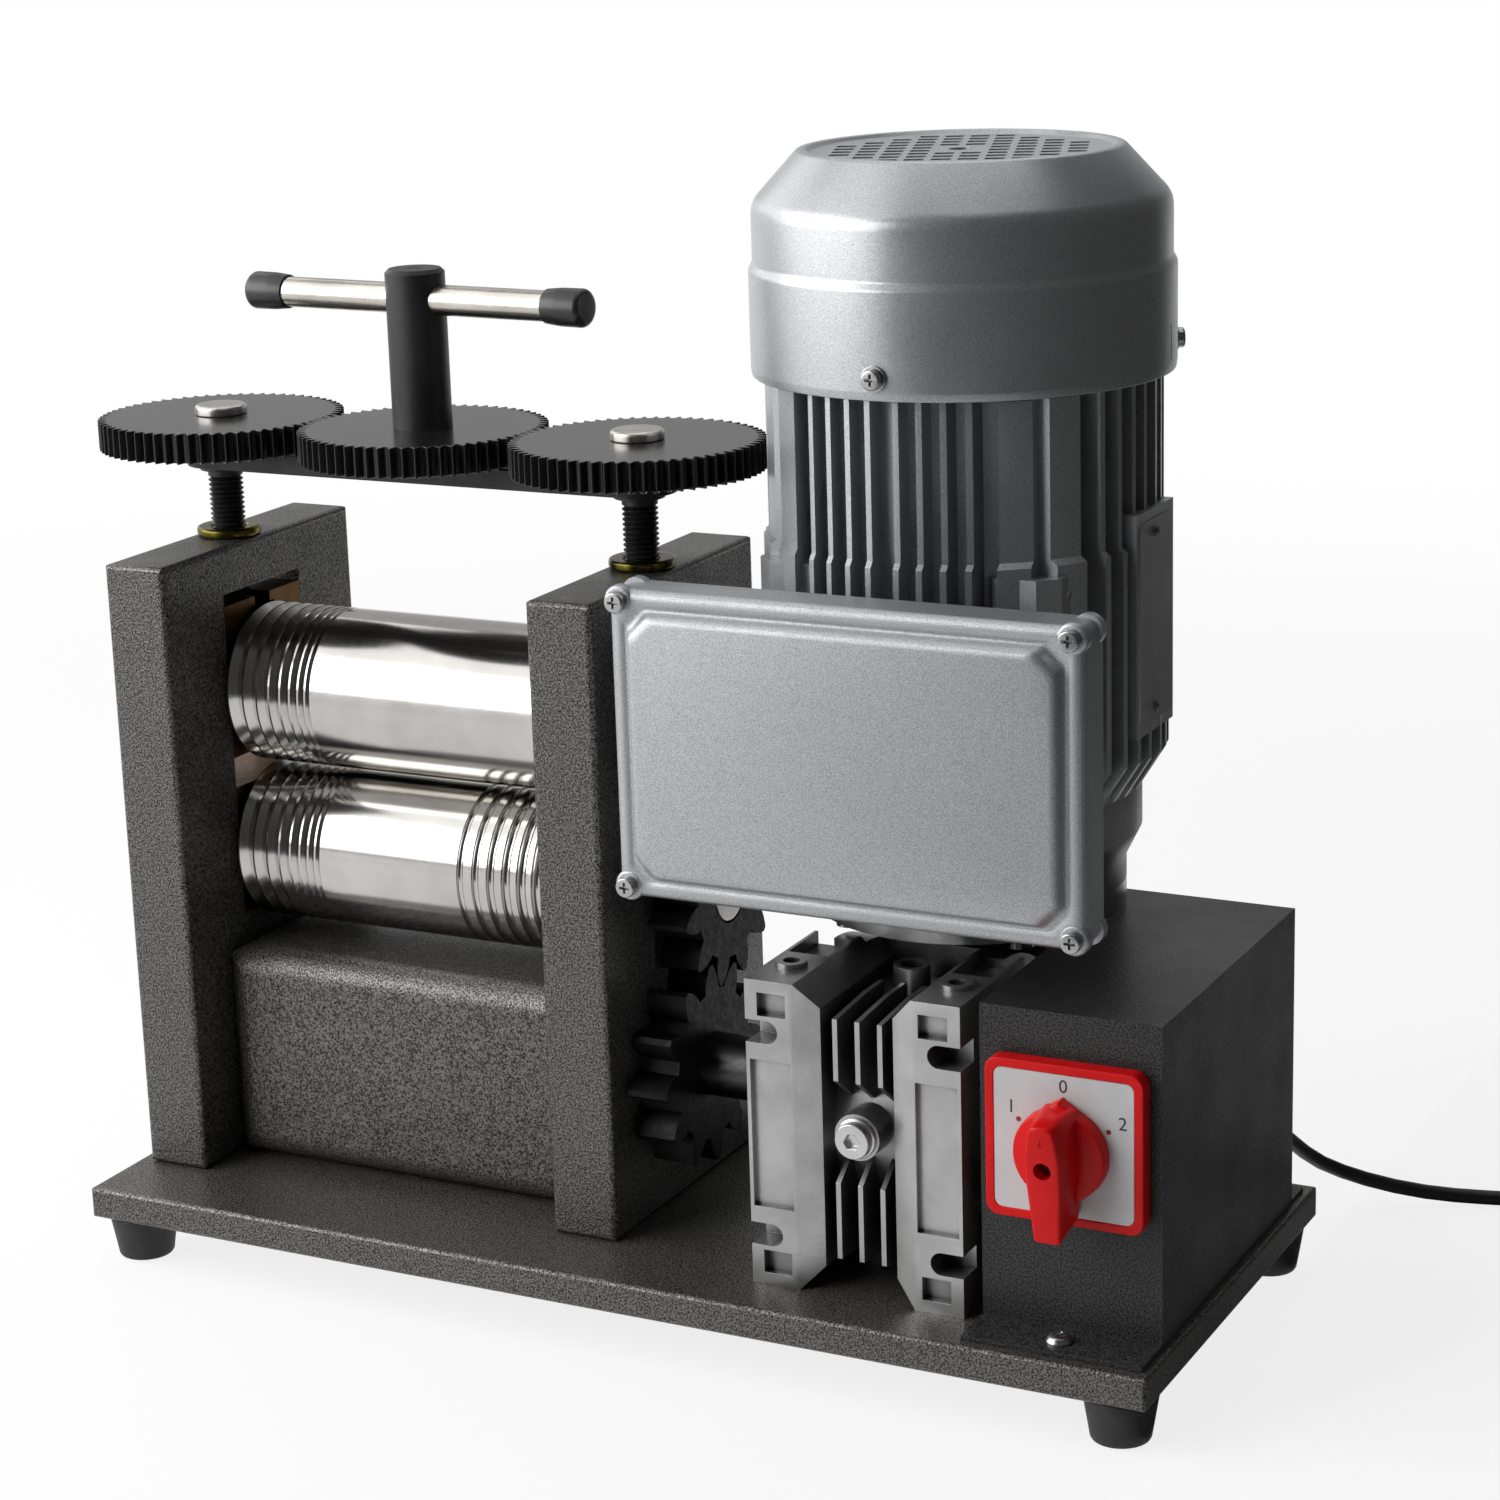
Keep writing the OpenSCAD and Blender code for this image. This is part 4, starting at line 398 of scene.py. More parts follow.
def rounded(corners, steps=5):
    """The outline through (a, b, radius) corners, each rounded by its radius."""
    outline = []
    for i, (a, b, radius) in enumerate(corners):
        corner = Vector((a, b))
        if radius <= 0:
            outline.append(corner)
            continue
        before = (Vector(corners[i - 1][:2]) - corner).normalized()
        after = (Vector(corners[(i + 1) % len(corners)][:2]) - corner).normalized()
        half = before.angle(after) / 2
        middle = corner + (before + after).normalized() * radius / math.sin(half)
        start = corner + before * radius / math.tan(half) - middle
        end = corner + after * radius / math.tan(half) - middle
        first = math.atan2(start.y, start.x)
        sweep = math.remainder(math.atan2(end.y, end.x) - first, TAU)
        for k in range(steps + 1):
            angle = first + sweep * k / steps
            outline.append(middle + radius * Vector((math.cos(angle), math.sin(angle))))
    return outline


def ring(form, place, spots):
    return [form.verts.new(place @ (Vector(spot) * MM)) for spot in spots]


def skin(form, rings, closed=False):
    """Faces between neighbouring rings of vertices, where a ring of one vertex is a point."""
    pairs = list(zip(rings, rings[1:]))
    if closed:
        pairs.append((rings[-1], rings[0]))
    for near, far in pairs:
        if len(near) == len(far) == 1:
            continue
        count = max(len(near), len(far))
        for i in range(count):
            j = (i + 1) % count
            corners = [near[i % len(near)], near[j % len(near)], far[j % len(far)], far[i % len(far)]]
            form.faces.new(list(dict.fromkeys(corners)))


def turned(form, place, outline, closed=False, steps=TURN_STEPS):
    """Turns an outline of (radius, height) points about the place's Z axis."""
    rings = []
    for radius, height in outline:
        count = steps if radius > TINY else 1
        angles = [TAU * i / count for i in range(count)]
        spots = [(radius * math.cos(a), radius * math.sin(a), height) for a in angles]
        rings.append(ring(form, place, spots))
    skin(form, rings, closed)


def stacked(form, place, outlines):
    """Skins a stack of outlines of (x, y, z) points and closes both ends."""
    rings = [ring(form, place, outline) for outline in outlines]
    skin(form, rings)
    form.faces.new(rings[0][::-1])
    form.faces.new(rings[-1])


def slab(form, place, outline, low, high, edge):
    """A flat plate with an outline, whose upper edge is broken by a small chamfer."""
    middle = sum(outline, Vector((0, 0))) / len(outline)
    inner = [p + (middle - p).normalized() * edge for p in outline]
    stacked(form, place, [[(*p, low) for p in outline], [(*p, high - edge) for p in outline],
                          [(*p, high) for p in inner]])


def to_mesh(form, name):
    bmesh.ops.recalc_face_normals(form, faces=form.faces)
    mesh = bpy.data.meshes.new(name)
    form.to_mesh(mesh)
    form.free()
    return mesh


def combine(mesh, tool, operation):
    """The mesh with the tool's shape cut out of it, or joined to it."""
    pair = [bpy.data.objects.new(shape.name, shape) for shape in (mesh, tool)]
    for item in pair:
        bpy.context.scene.collection.objects.link(item)
    change = pair[0].modifiers.new("change", "BOOLEAN")
    change.object = pair[1]
    change.operation = operation
    change.solver = "EXACT"
    graph = bpy.context.evaluated_depsgraph_get()
    result = bpy.data.meshes.new_from_object(pair[0].evaluated_get(graph))
    for item in pair:
        bpy.data.objects.remove(item)
    return result


def piece(name, mesh, body, material, replaced=(), sharp=35.0):
    """Puts a mesh into the scene as a piece that rides on a body."""
    mesh.shade_smooth()
    mesh.set_sharp_from_angle(angle=math.radians(sharp))
    mesh.materials.clear()
    mesh.materials.append(material)
    item = bpy.data.objects.new(name, mesh)
    bpy.context.scene.collection.objects.link(item)
    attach(item, body)
    if replaced:
        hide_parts(*replaced)
    return item


def node_box(name):
    """A node's lowest and highest corner and its middle, in millimetres of the part's frame."""
    low, high = (Vector(corner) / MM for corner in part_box(name))
    return low, high, (low + high) / 2


def at(x, y, z, turn=Matrix.Identity(4)):
    """A place in millimetres of the part's frame, with a turn."""
    return Matrix.Translation(Vector((x, y, z)) * MM) @ turn


# The mains cord: its free stretch, then the coil of its put-away length
CORD_D = 6.0
CORD_TAIL = 3.5 * CORD_D
COIL_TURNS = 6.25
COIL_INNER = 24.5
COIL_PITCH = 6.7
COIL_X = 344.0
COIL_Y = 133.0
COIL_Z = 4.3
COIL_RINGS = 36
CLIMB_TURNS = 0.5
GLAND_END = (203.0, 96.0, 48.0)
ROUTE = [(203.4, 108, 46.4), (204.4, 115, 42), (206.6, 122.5, 35.5), (210, 129, 29), (215, 136, 22.5),
         (222, 143, 17), (230, 149.5, 12.5), (240, 156, 8.5), (251, 162, 5.5), (262, 167, 3.8),
         (273, 171, 3.1), (286, 174.4, 3), (300, 176.6, 3.2), (316, 178, 3.7), (329, 178.4, 4.1)]


def coil_point(turn):
    """A point of the coil, which winds inwards on the floor, climbs, and winds outwards on top."""
    radius = COIL_INNER + COIL_PITCH * abs(turn)
    angle = math.radians(90 - 360 * (turn + COIL_TURNS / 2))
    climb = min(1.0, max(0.0, (turn + CLIMB_TURNS / 2) / CLIMB_TURNS))
    return (COIL_X + radius * math.cos(angle), COIL_Y + radius * math.sin(angle),
            COIL_Z + COIL_PITCH * climb)


coil_steps = round(COIL_TURNS * COIL_RINGS)
coil = [Vector(coil_point(COIL_TURNS * (i / coil_steps - 0.5))) for i in range(coil_steps + 1)]
free = [Vector(GLAND_END), Vector(GLAND_END) + Vector((0, CORD_D, 0))]
free += [Vector(p) for p in ROUTE]
free += [coil[0] - Vector((CORD_D, 0, 0))]
tail = [coil[-1] - Vector((0, CORD_D, 0)), coil[-1] - Vector((0, CORD_TAIL, 0))]
cord_line = free + coil + tail


# Plug, lying on its side at the cord's end, with a ringed relief, a ribbed body and two flat pins
def ringed(form, place, length, first_r, last_r, rings):
    """A taper of separate rings round a thinner core."""
    core = 1.0
    width = length / rings
    outline = [(0, 0), (first_r - core, 0)]
    for i in range(rings):
        low_edge = length * i / rings
        radius = first_r + (last_r - first_r) * i / (rings - 1)
        outline += [(radius - core, low_edge + 0.05 * width), (radius, low_edge + 0.15 * width),
                    (radius, low_edge + 0.65 * width), (radius - core, low_edge + 0.75 * width)]
    outline += [(last_r - core, length), (0, length)]
    turned(form, place, outline, steps=40)


def rounded_square(half, height):
    soft = 0.62 * half
    return [(*p, height) for p in rounded([(sx * half, sy * half, soft) for sx, sy in QUADRANTS], 6)]


def plug_body(place):
    """The plug's body, from its neck over the grip's ribs to its collar, given as (height, half width)."""
    relief = 18.0
    ribs = 5
    rib_start = 6
    rib_pitch = 4
    neck = [(0, 5.6), (1, 7.0), (4, 9.4)]
    rib = [(0, 9.9), (0.6, 9.2), (1.8, 9.2), (2.4, 9.9)]
    collar = [(26.5, 10.1), (27.5, 11.0), (31, 11.0), (31.8, 10.5), (32, 9.8)]
    grip = [(rib_start + rib_pitch * i + height, half) for i in range(ribs) for height, half in rib]
    form = bmesh.new()
    ringed(form, place, relief + 1, 4.4, 6.6, 6)
    stacked(form, place, [rounded_square(half, relief + height) for height, half in neck + grip + collar])
    return to_mesh(form, "mains_plug")


def plug_pins(place):
    start = 49.5
    length = 18.5
    apart = 6.0
    half_t = 0.8
    half_w = 3.0
    tip_len = 1.5
    tip_share = 0.7
    levels = [(start, 1), (start + length - tip_len, 1), (start + length, tip_share)]
    form = bmesh.new()
    for side in (-1, 1):
        middle = side * apart
        sections = [[(middle + sx * half_t * share, sz * half_w * share, height) for sx, sz in QUADRANTS]
                    for height, share in levels]
        stacked(form, place, sections)
    return to_mesh(form, "plug_pins")


def tie_strap():
    """A strap round both layers of the coil, with its end lapped over on top."""
    near = 19.2
    far = 49.74
    high = 15.3
    thick = 0.95
    half_w = 6.0
    soft = 3.5
    lap_near = near + 6
    lap_far = near + 20
    lap_half = half_w - 0.4
    lap_rise = 0.6
    lap_edge = 0.2
    turn = Matrix.Rotation(math.radians(45), 4, "Z")
    place = Matrix.Translation(point(COIL_X, COIL_Y, 0)) @ turn @ FACE_FRONT

    def loop(inset):
        corners = [(far - inset, high - inset, soft - inset), (near + inset, high - inset, soft - inset),
                   (near + inset, inset, soft - inset), (far - inset, inset, soft - inset)]
        return rounded(corners, 6)

    form = bmesh.new()
    rings = []
    for inset, width in ((0.0, half_w), (0.0, -half_w), (thick, -half_w), (thick, half_w)):
        rings.append(ring(form, place, [(*p, width) for p in loop(inset)]))
    skin(form, rings, closed=True)
    lap = [Vector((lap_near, -lap_half)), Vector((lap_far, -lap_half)), Vector((lap_far, lap_half)),
           Vector((lap_near, lap_half))]
    lift = place @ Matrix.Rotation(math.radians(-90), 4, "X")
    slab(form, lift, lap, high - thick / 2, high + lap_rise, lap_edge)
    return to_mesh(form, "tie_strap")


plug_place = Matrix.Translation(point(*cord_line[-1])) @ FACE_FRONT
plug = piece("mains_plug", plug_body(plug_place), "machine", black_plastic, ["plug"])
pins = piece("plug_pins", plug_pins(plug_place), "machine", pin_brass)
strap = piece("tie_strap", tie_strap(), "machine", strap_cloth, ["cord_tie"])


def tube_curve(name, line, diameter, material):
    """A round cord along a line of points in millimetres of the machine's drawing."""
    curve = bpy.data.curves.new(name, "CURVE")
    curve.dimensions = "3D"
    curve.bevel_depth = diameter / 2 * MM
    curve.bevel_resolution = 4
    curve.use_fill_caps = True
    spline = curve.splines.new("POLY")
    spline.points.add(len(line) - 1)
    for knot, p in zip(spline.points, line):
        knot.co = (*point(*p), 1)
    curve.materials.append(material)
    item = bpy.data.objects.new(name, curve)
    bpy.context.scene.collection.objects.link(item)
    return item


cord = tube_curve("mains_lead", cord_line, CORD_D, cord_rubber)
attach(cord, "machine")
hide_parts("mains_cord", "cord_coil")


# Cross-recess screws
def cross(reach, half, height):
    """The outline of a cross recess at a height."""
    arm = [(half, reach), (-half, reach), (-half, half)]
    quarter_turns = [Matrix.Rotation(TAU * i / 4, 2) for i in range(4)]
    return [(*(turn @ Vector(spot)), height) for turn in quarter_turns for spot in arm]


def cross_screws(name, places, outline, node, recess=2.2, depth=1.6):
    """Screws with one outline at several places, each with a tapered cross recess in its head."""
    bottom_half = 0.28
    top_half = 0.5
    heads = bmesh.new()
    tools = bmesh.new()
    top = max(height for _, height in outline)
    taper = [cross(0.5 * recess, bottom_half, top - depth), cross(recess, top_half, top + 0.1),
             cross(recess, top_half, top + 1)]
    for place in places:
        turned(heads, place, outline, steps=40)
        stacked(tools, place, taper)
    mesh = combine(to_mesh(heads, name), to_mesh(tools, "recess"), "DIFFERENCE")
    piece(name, mesh, "machine", screw_steel, [node])


def screw_outline(head_r, head_h, edge, washer=None):
    """A cheese head on a shank, with a washer under it where one is given as (radius, height)."""
    shank_r = 2.0
    shank = 6.0
    base = 0.0
    corners = [(0, -shank, 0), (shank_r, -shank, 0), (shank_r, 0, 0)]
    if washer:
        washer_r, base = washer
        corners += [(washer_r, 0, 0.2), (washer_r, base, 0.2)]
    corners += [(head_r, base, 0), (head_r, base + head_h, edge), (0, base + head_h, 0)]
    return rounded(corners)


SMALL_HEAD_R = 3.8
LID_HEAD_H = 4.0
low, high, _ = node_box("terminal_screws")
lid_head = screw_outline(SMALL_HEAD_R, LID_HEAD_H, 0.7)
lid_places = [at(x, low.y + LID_HEAD_H, z, FACE_FRONT)
              for x in (low.x + SMALL_HEAD_R, high.x - SMALL_HEAD_R)
              for z in (low.z + SMALL_HEAD_R, high.z - SMALL_HEAD_R)]
cross_screws("terminal_heads", lid_places, lid_head, "terminal_screws")


# Terminal cover: a die-cast lid with a rolled edge, screw bosses and a raised panel inside a shallow groove
def terminal_lid():
    panel_rise = 4.0
    panel_inset = 8.0
    rolled = 3.5
    roll_steps = 5
    edge = 4.3
    corner_cut = 3.0
    panel_cut = 5.0
    corner_r = 4.0
    boss_rise = 0.3
    boss_depth = 6.0
    boss_cone = 2.0
    boss_edge = 1.4
    screw_low, screw_high, _ = node_box("terminal_screws")
    lid_low, lid_high, lid_mid = node_box("terminal_cover")
    screw_x = (screw_high.x - screw_low.x) / 2 - SMALL_HEAD_R
    screw_z = (screw_high.z - screw_low.z) / 2 - SMALL_HEAD_R
    boss_r = lid_high.x - lid_mid.x - screw_x
    face = lid_high.y - lid_low.y - panel_rise
    place = at(lid_mid.x, lid_high.y, lid_mid.z, FACE_FRONT)

    def layer(inset, height):
        """The lid's outline with cut corners, drawn in by an inset."""
        half_w = screw_x + edge - inset
        half_h = screw_z + edge - inset
        cut = corner_cut + panel_cut * min(1.0, inset / panel_inset)
        corners = []
        for sx, sz in QUADRANTS:
            pair = [(sx * half_w, sz * (half_h - cut), corner_r),
                    (sx * (half_w - cut), sz * half_h, corner_r)]
            corners += pair if sx == sz else pair[::-1]
        return [(*p, height) for p in rounded(corners)]

    roll = [math.radians(90) * i / roll_steps for i in range(roll_steps + 1)]
    layers = [layer(0, 0)]
    layers += [layer(rolled * (1 - math.cos(a)), face - rolled + rolled * math.sin(a)) for a in roll]
    groove = [(5.2, 0.0), (6.0, -0.5), (6.8, -0.7), (7.5, -0.4)]
    climb = [(panel_inset, 0.6), (8.5, 1.9), (9.2, 3.0), (10.2, 3.7), (11.6, panel_rise)]
    layers += [layer(inset, face + rise) for inset, rise in groove + climb]
    form = bmesh.new()
    stacked(form, place, layers)
    bosses = bmesh.new()
    boss_low = face - boss_depth
    boss = rounded([(0, boss_low, 0), (boss_r - boss_cone, boss_low, 0), (boss_r, boss_low + boss_cone, 0),
                    (boss_r, face + boss_rise, boss_edge), (0, face + boss_rise, 0)])
    for sx in (-1, 1):
        for sz in (-1, 1):
            turned(bosses, place @ at(sx * screw_x, sz * screw_z, 0), boss, steps=48)
    mesh = combine(to_mesh(form, "terminal_lid"), to_mesh(bosses, "bosses"), "UNION")
    piece("terminal_lid", mesh, "machine", lid_silver, ["terminal_cover"], 40.0)


terminal_lid()

COVER_SCREWS = 3
COVER_HEAD_H = 2.6
low, high, motor_mid = node_box("fan_cover")
cover_r = (high.x - low.x) / 2
cover_z = low.z
cover_h = high.z - low.z
screw_z = node_box("fan_cover_screws")[2].z
cover_head = screw_outline(SMALL_HEAD_R, COVER_HEAD_H, 0.9, washer=(4.8, 1.0))
cover_places = []
for i in range(COVER_SCREWS):
    spin = Matrix.Rotation(TAU * i / COVER_SCREWS, 4, "Z")
    cover_places.append(at(motor_mid.x, motor_mid.y, screw_z) @ spin @ at(0, -cover_r, 0, FACE_FRONT))
cross_screws("cover_heads", cover_places, cover_head, "fan_cover_screws")

BOX_HEAD_R = 5.0
BOX_HEAD_H = 3.0
low, high, middle = node_box("box_screws")
dome = [(0, -8, 0), (2.5, -8, 0), (2.5, 0, 0), (BOX_HEAD_R, 0, 0), (BOX_HEAD_R, 0.8, 0.3), (3.6, 2.6, 2.0),
        (0, BOX_HEAD_H, 0)]
box_places = [at(middle.x, y, high.z - BOX_HEAD_H) for y in (low.y + BOX_HEAD_R, high.y - BOX_HEAD_R)]
cross_screws("box_heads", box_places, rounded(dome), "box_screws", 2.6, 1.8)


# Fan cover: a spun sheet with a rounded shoulder, a bead and a slotted, dished top
def fan_shell():
    wall = 1.5
    step = 1.5
    bead_z = 40.0
    bead_soft = 2.6
    shoulder_z = 63.0
    top_r = 60.0
    rim_w = 3.0
    dish_d = 1.6
    dish_z = cover_h - dish_d
    body_r = cover_r - step
    outside = [(cover_r - wall, 0, 0), (cover_r - 0.4, 0, 0.4), (cover_r, 3, 3),
               (cover_r, bead_z - 1.2, bead_soft), (body_r, bead_z + 1.6, bead_soft),
               (body_r, shoulder_z, 10), (top_r, cover_h, 3.0),
               (top_r - rim_w, cover_h, 1.0), (top_r - rim_w - dish_d, dish_z, 1.0), (0, dish_z, 0)]
    inside = [(0, dish_z - wall, 0), (top_r - 5, dish_z - wall, 2), (body_r - wall, shoulder_z - 1, 9),
              (body_r - wall, bead_z + 2, 0), (cover_r - wall, bead_z, 0)]
    form = bmesh.new()
    place = at(motor_mid.x, motor_mid.y, cover_z)
    turned(form, place, rounded(outside + inside), closed=True, steps=144)
    return to_mesh(form, "fan_shell")


def grille():
    """Slots in rows that stand in a diamond, a centre hole, and a short upright slit low in the wall."""
    pitch_x = 9.6
    pitch_y = 10.4
    slot_w = 7.4
    slot_h = 5.8
    slot_soft = 0.8
    rows = 10
    row_turn = 20.0
    reach = 6
    hub_r = 9.0
    hole_r = 4.5
    below = -9
    above = 2
    slit_turn = 6.0
    slit_w = 1.0
    slit_low = 5.0
    slit_high = 18.0
    slit_in = cover_r - 5
    slit_out = cover_r + 2
    form = bmesh.new()
    place = at(motor_mid.x, motor_mid.y, cover_z + cover_h, Matrix.Rotation(math.radians(row_turn), 4, "Z"))
    turned(form, place, [(0, below), (hole_r, below), (hole_r, above), (0, above)], steps=32)
    counts = [i + 0.5 - rows / 2 for i in range(rows)]
    for a in counts:
        for b in counts:
            x = a * pitch_x
            y = b * pitch_y
            if abs(a) + abs(b) > reach or math.hypot(x, y) < hub_r:
                continue
            corners = [(x + sx * slot_w / 2, y + sy * slot_h / 2, slot_soft) for sx, sy in QUADRANTS]
            outline = rounded(corners, 3)
            stacked(form, place, [[(*p, below) for p in outline], [(*p, above) for p in outline]])
    slit_place = at(motor_mid.x, motor_mid.y, cover_z, Matrix.Rotation(math.radians(slit_turn), 4, "Z"))
    slit = [(slit_in, -slit_w / 2), (slit_out, -slit_w / 2), (slit_out, slit_w / 2), (slit_in, slit_w / 2)]
    stacked(form, slit_place, [[(*p, z) for p in slit] for z in (slit_low, slit_high)])
    return to_mesh(form, "grille")


slotted = combine(fan_shell(), grille(), "DIFFERENCE")
piece("fan_shell", slotted, "machine", silver, ["fan_cover"], 28.0)


# Switch: a pale dial with figures and dots, and the pointed knob
plate_low, plate_high, plate_mid = node_box("switch_plate")
switch_joint = next(joint for joint in frame["joints"] if joint["name"] == "switch_turn")
axis_x, _, axis_z = (value / MM for value in switch_joint["pos_m"])
DIAL_INSET = 3.5
DIAL_SINK = 1.2
DIAL_T = 1.0
DIAL_EDGE = 0.15
DIAL_SOFT = 3.0
dial_half = (plate_high.x - plate_low.x) / 2 - DIAL_INSET
dial_back = plate_low.y + DIAL_SINK
dial_front = dial_back - DIAL_T
dial_outline = rounded([(sx * dial_half, sz * dial_half, DIAL_SOFT) for sx, sz in QUADRANTS])
dial_form = bmesh.new()
slab(dial_form, at(plate_mid.x, dial_back, plate_mid.z, FACE_FRONT), dial_outline, 0.0, DIAL_T, DIAL_EDGE)
piece("switch_dial", to_mesh(dial_form, "switch_dial"), "machine", dial_white)

DOT_PLACES = [(0, 19.6), (-17.0, 10.0), (17.0, 10.0)]
dot_outline = [(0, -0.1), (1.05, -0.1), (0.95, 0.08), (0, 0.1)]
dots = bmesh.new()
for x, z in DOT_PLACES:
    turned(dots, at(axis_x + x, dial_front, axis_z + z, FACE_FRONT), dot_outline, steps=24)
piece("dial_dots", to_mesh(dots, "dial_dots"), "machine", dot_red)

FIGURES = {"0": (0, 24.6), "1": (-19.8, 14.6), "2": (22.3, 13.8)}
FIGURE_H = 4.8
FIGURE_RISE = 0.06
for text, (x, z) in FIGURES.items():
    curve = bpy.data.curves.new("figure", "FONT")
    curve.body = text
    curve.extrude = 0.01
    holder = bpy.data.objects.new("figure", curve)
    bpy.context.scene.collection.objects.link(holder)
    mesh = bpy.data.meshes.new_from_object(holder.evaluated_get(bpy.context.evaluated_depsgraph_get()))
    bpy.data.objects.remove(holder)
    spots = [v.co.copy() for v in mesh.vertices]
    left, right = min(v.x for v in spots), max(v.x for v in spots)
    bottom, top = min(v.y for v in spots), max(v.y for v in spots)
    size = FIGURE_H / (top - bottom)
    place = at(axis_x + x, dial_front, axis_z + z, FACE_FRONT)
    for vertex, spot in zip(mesh.vertices, spots):
        flat = ((spot.x - (left + right) / 2) * size, (spot.y - (bottom + top) / 2) * size)
        vertex.co = place @ (Vector((*flat, math.copysign(FIGURE_RISE, spot.z))) * MM)
    piece("figure_" + text, mesh, "machine", print_and_shade_black)


def knob():
    """A disc drawn to a point, with a tapered grip whose front slopes to its tail, and its screw."""
    disc_r = 17.5
    disc_h = 6.0
    disc_steps = 60
    tip = 20.6
    tip_half = 0.9
    tip_drop = 0.4
    sunk = 0.2
    grip_foot = 2.0
    grip_top = 17.0
    grip_tail = -29.0
    flare = 2.4
    tail_flare = 1.2
    top_lean = 1.5
    tail_lean = 5.0
    slope = 0.14
    bore_r = 3.3
    bore_d = 9.0
    screw_r = 2.9
    base = dial_front - sunk
    reach = base - node_box("switch_knob")[0].y
    place = at(axis_x, base, axis_z, FACE_FRONT)
    touch = math.acos(disc_r / (tip + 2))
    sweep = TAU - 2 * touch
    angles = [TAU / 4 + touch + sweep * i / disc_steps for i in range(disc_steps + 1)]
    disc = [Vector((disc_r * math.cos(a), disc_r * math.sin(a))) for a in angles]
    disc += [Vector((tip_half, tip - tip_drop)), Vector((0, tip)), Vector((-tip_half, tip - tip_drop))]

    def disc_layer(height, inset):
        return [(*(p * (1 - inset / p.length)), height) for p in disc]

    def front(y):
        return reach - (grip_top - y) * slope

    def grip_layer(share, inset):
        """The grip's outline at a share of its height, drawn in by an inset."""
        rest = 1 - share
        corners = [(4.6 + flare * rest - inset, grip_top + top_lean * rest - inset, 3.6),
                   (6.5 + flare * rest - inset, 4.0, 8.0), (6.4 + flare * rest - inset, -6.0, 8.0),
                   (4.9 + tail_flare * rest - inset, grip_tail + tail_lean * rest + inset, 1.4)]
        mirrored = [(-x, y, r) for x, y, r in reversed(corners)]
        outline = rounded(corners + mirrored)
        return [(p.x, p.y, grip_foot + (front(p.y) - grip_foot) * share) for p in outline]

    base_form = bmesh.new()
    stacked(base_form, place, [disc_layer(0, 0.3), disc_layer(0.3, 0), disc_layer(disc_h - 1.4, 0.2),
                               disc_layer(disc_h - 0.4, 0.6), disc_layer(disc_h, 1.5)])
    grip_form = bmesh.new()
    stacked(grip_form, place, [grip_layer(0, 0), grip_layer(0.5, 0), grip_layer(0.95, 0),
                               grip_layer(0.975, 0.2), grip_layer(0.993, 0.55), grip_layer(1, 1.1)])
    whole = combine(to_mesh(base_form, "knob_disc"), to_mesh(grip_form, "knob_grip"), "UNION")
    bore = bmesh.new()
    floor_z = front(0) - bore_d
    turned(bore, place, [(0, floor_z), (bore_r, floor_z), (bore_r, reach + 5), (0, reach + 5)], steps=40)
    mark = [(0, 12.6), (-0.9, 9.8), (0.9, 9.8)]
    stacked(bore, place, [[(x, y, front(y) - 0.4) for x, y in mark], [(x, y, reach + 3) for x, y in mark]])
    whole = combine(whole, to_mesh(bore, "knob_bore"), "DIFFERENCE")
    piece("knob_grip", whole, "knob", red_plastic, ["switch_knob"], 32.0)
    head = bmesh.new()
    head_top = floor_z + 3
    head_low = floor_z - 2
    turned(head, place, rounded([(0, head_low, 0), (screw_r, head_low, 0), (screw_r, head_top, 0.6),
                                 (0, head_top, 0)]), steps=32)
    tool = bmesh.new()
    stacked(tool, place, [cross(0.9, 0.25, head_top - 1.6), cross(1.9, 0.45, head_top + 0.1)])
    mesh = combine(to_mesh(head, "knob_screw"), to_mesh(tool, "recess"), "DIFFERENCE")
    piece("knob_screw", mesh, "knob", dull_steel)


knob()

# Motor: a bare plate with rivets, and the mounting eyes on the corner lugs, whose holes are black discs of
# painted shade
PLATE_HALF_W = 16.5
PLATE_LOW = 30.0
PLATE_HIGH = 106.0
PLATE_SOFT = 2.5
PAD_REACH = 75.5
RIVET_INSET = 5.0
FACE_RIGHT = Matrix.Rotation(math.radians(90), 4, "Z") @ FACE_FRONT
frame_z = node_box("motor_frame")[0].z
plate_form = bmesh.new()
plate_corners = [(PLATE_HALF_W, PLATE_HIGH, PLATE_SOFT), (-PLATE_HALF_W, PLATE_HIGH, PLATE_SOFT),
                 (-PLATE_HALF_W, PLATE_LOW, PLATE_SOFT), (PLATE_HALF_W, PLATE_LOW, PLATE_SOFT)]
plate_place = at(motor_mid.x + PAD_REACH, motor_mid.y, frame_z, FACE_RIGHT)
slab(plate_form, plate_place, rounded(plate_corners), -0.2, 0.5, 0.12)
piece("rating_plate", to_mesh(plate_form, "rating_plate"), "machine", plate_alloy)
rivet_outline = rounded([(0, -0.5, 0), (1.9, -0.5, 0), (1.9, 0.9, 0.4), (1.1, 1.6, 0.6), (0, 1.7, 0)])
rivets = bmesh.new()
for z in (PLATE_LOW + RIVET_INSET, PLATE_HIGH - RIVET_INSET):
    turned(rivets, plate_place @ at(0, z, 0), rivet_outline, steps=24)
piece("plate_rivets", to_mesh(rivets, "plate_rivets"), "machine", dull_steel)

LUG_REACH = 60.0
LUG_MID = 44.5
LUG_Z = 82.0
EYE_R = 5.6
EYE_RISE = 0.7
EYE_SINK = 0.5
HOLE_R = 2.6
eye_outline = rounded([(HOLE_R, -EYE_SINK, 0), (HOLE_R, EYE_RISE, 0.3), (EYE_R, EYE_RISE, 0.5),
                       (EYE_R, -EYE_SINK, 0)])
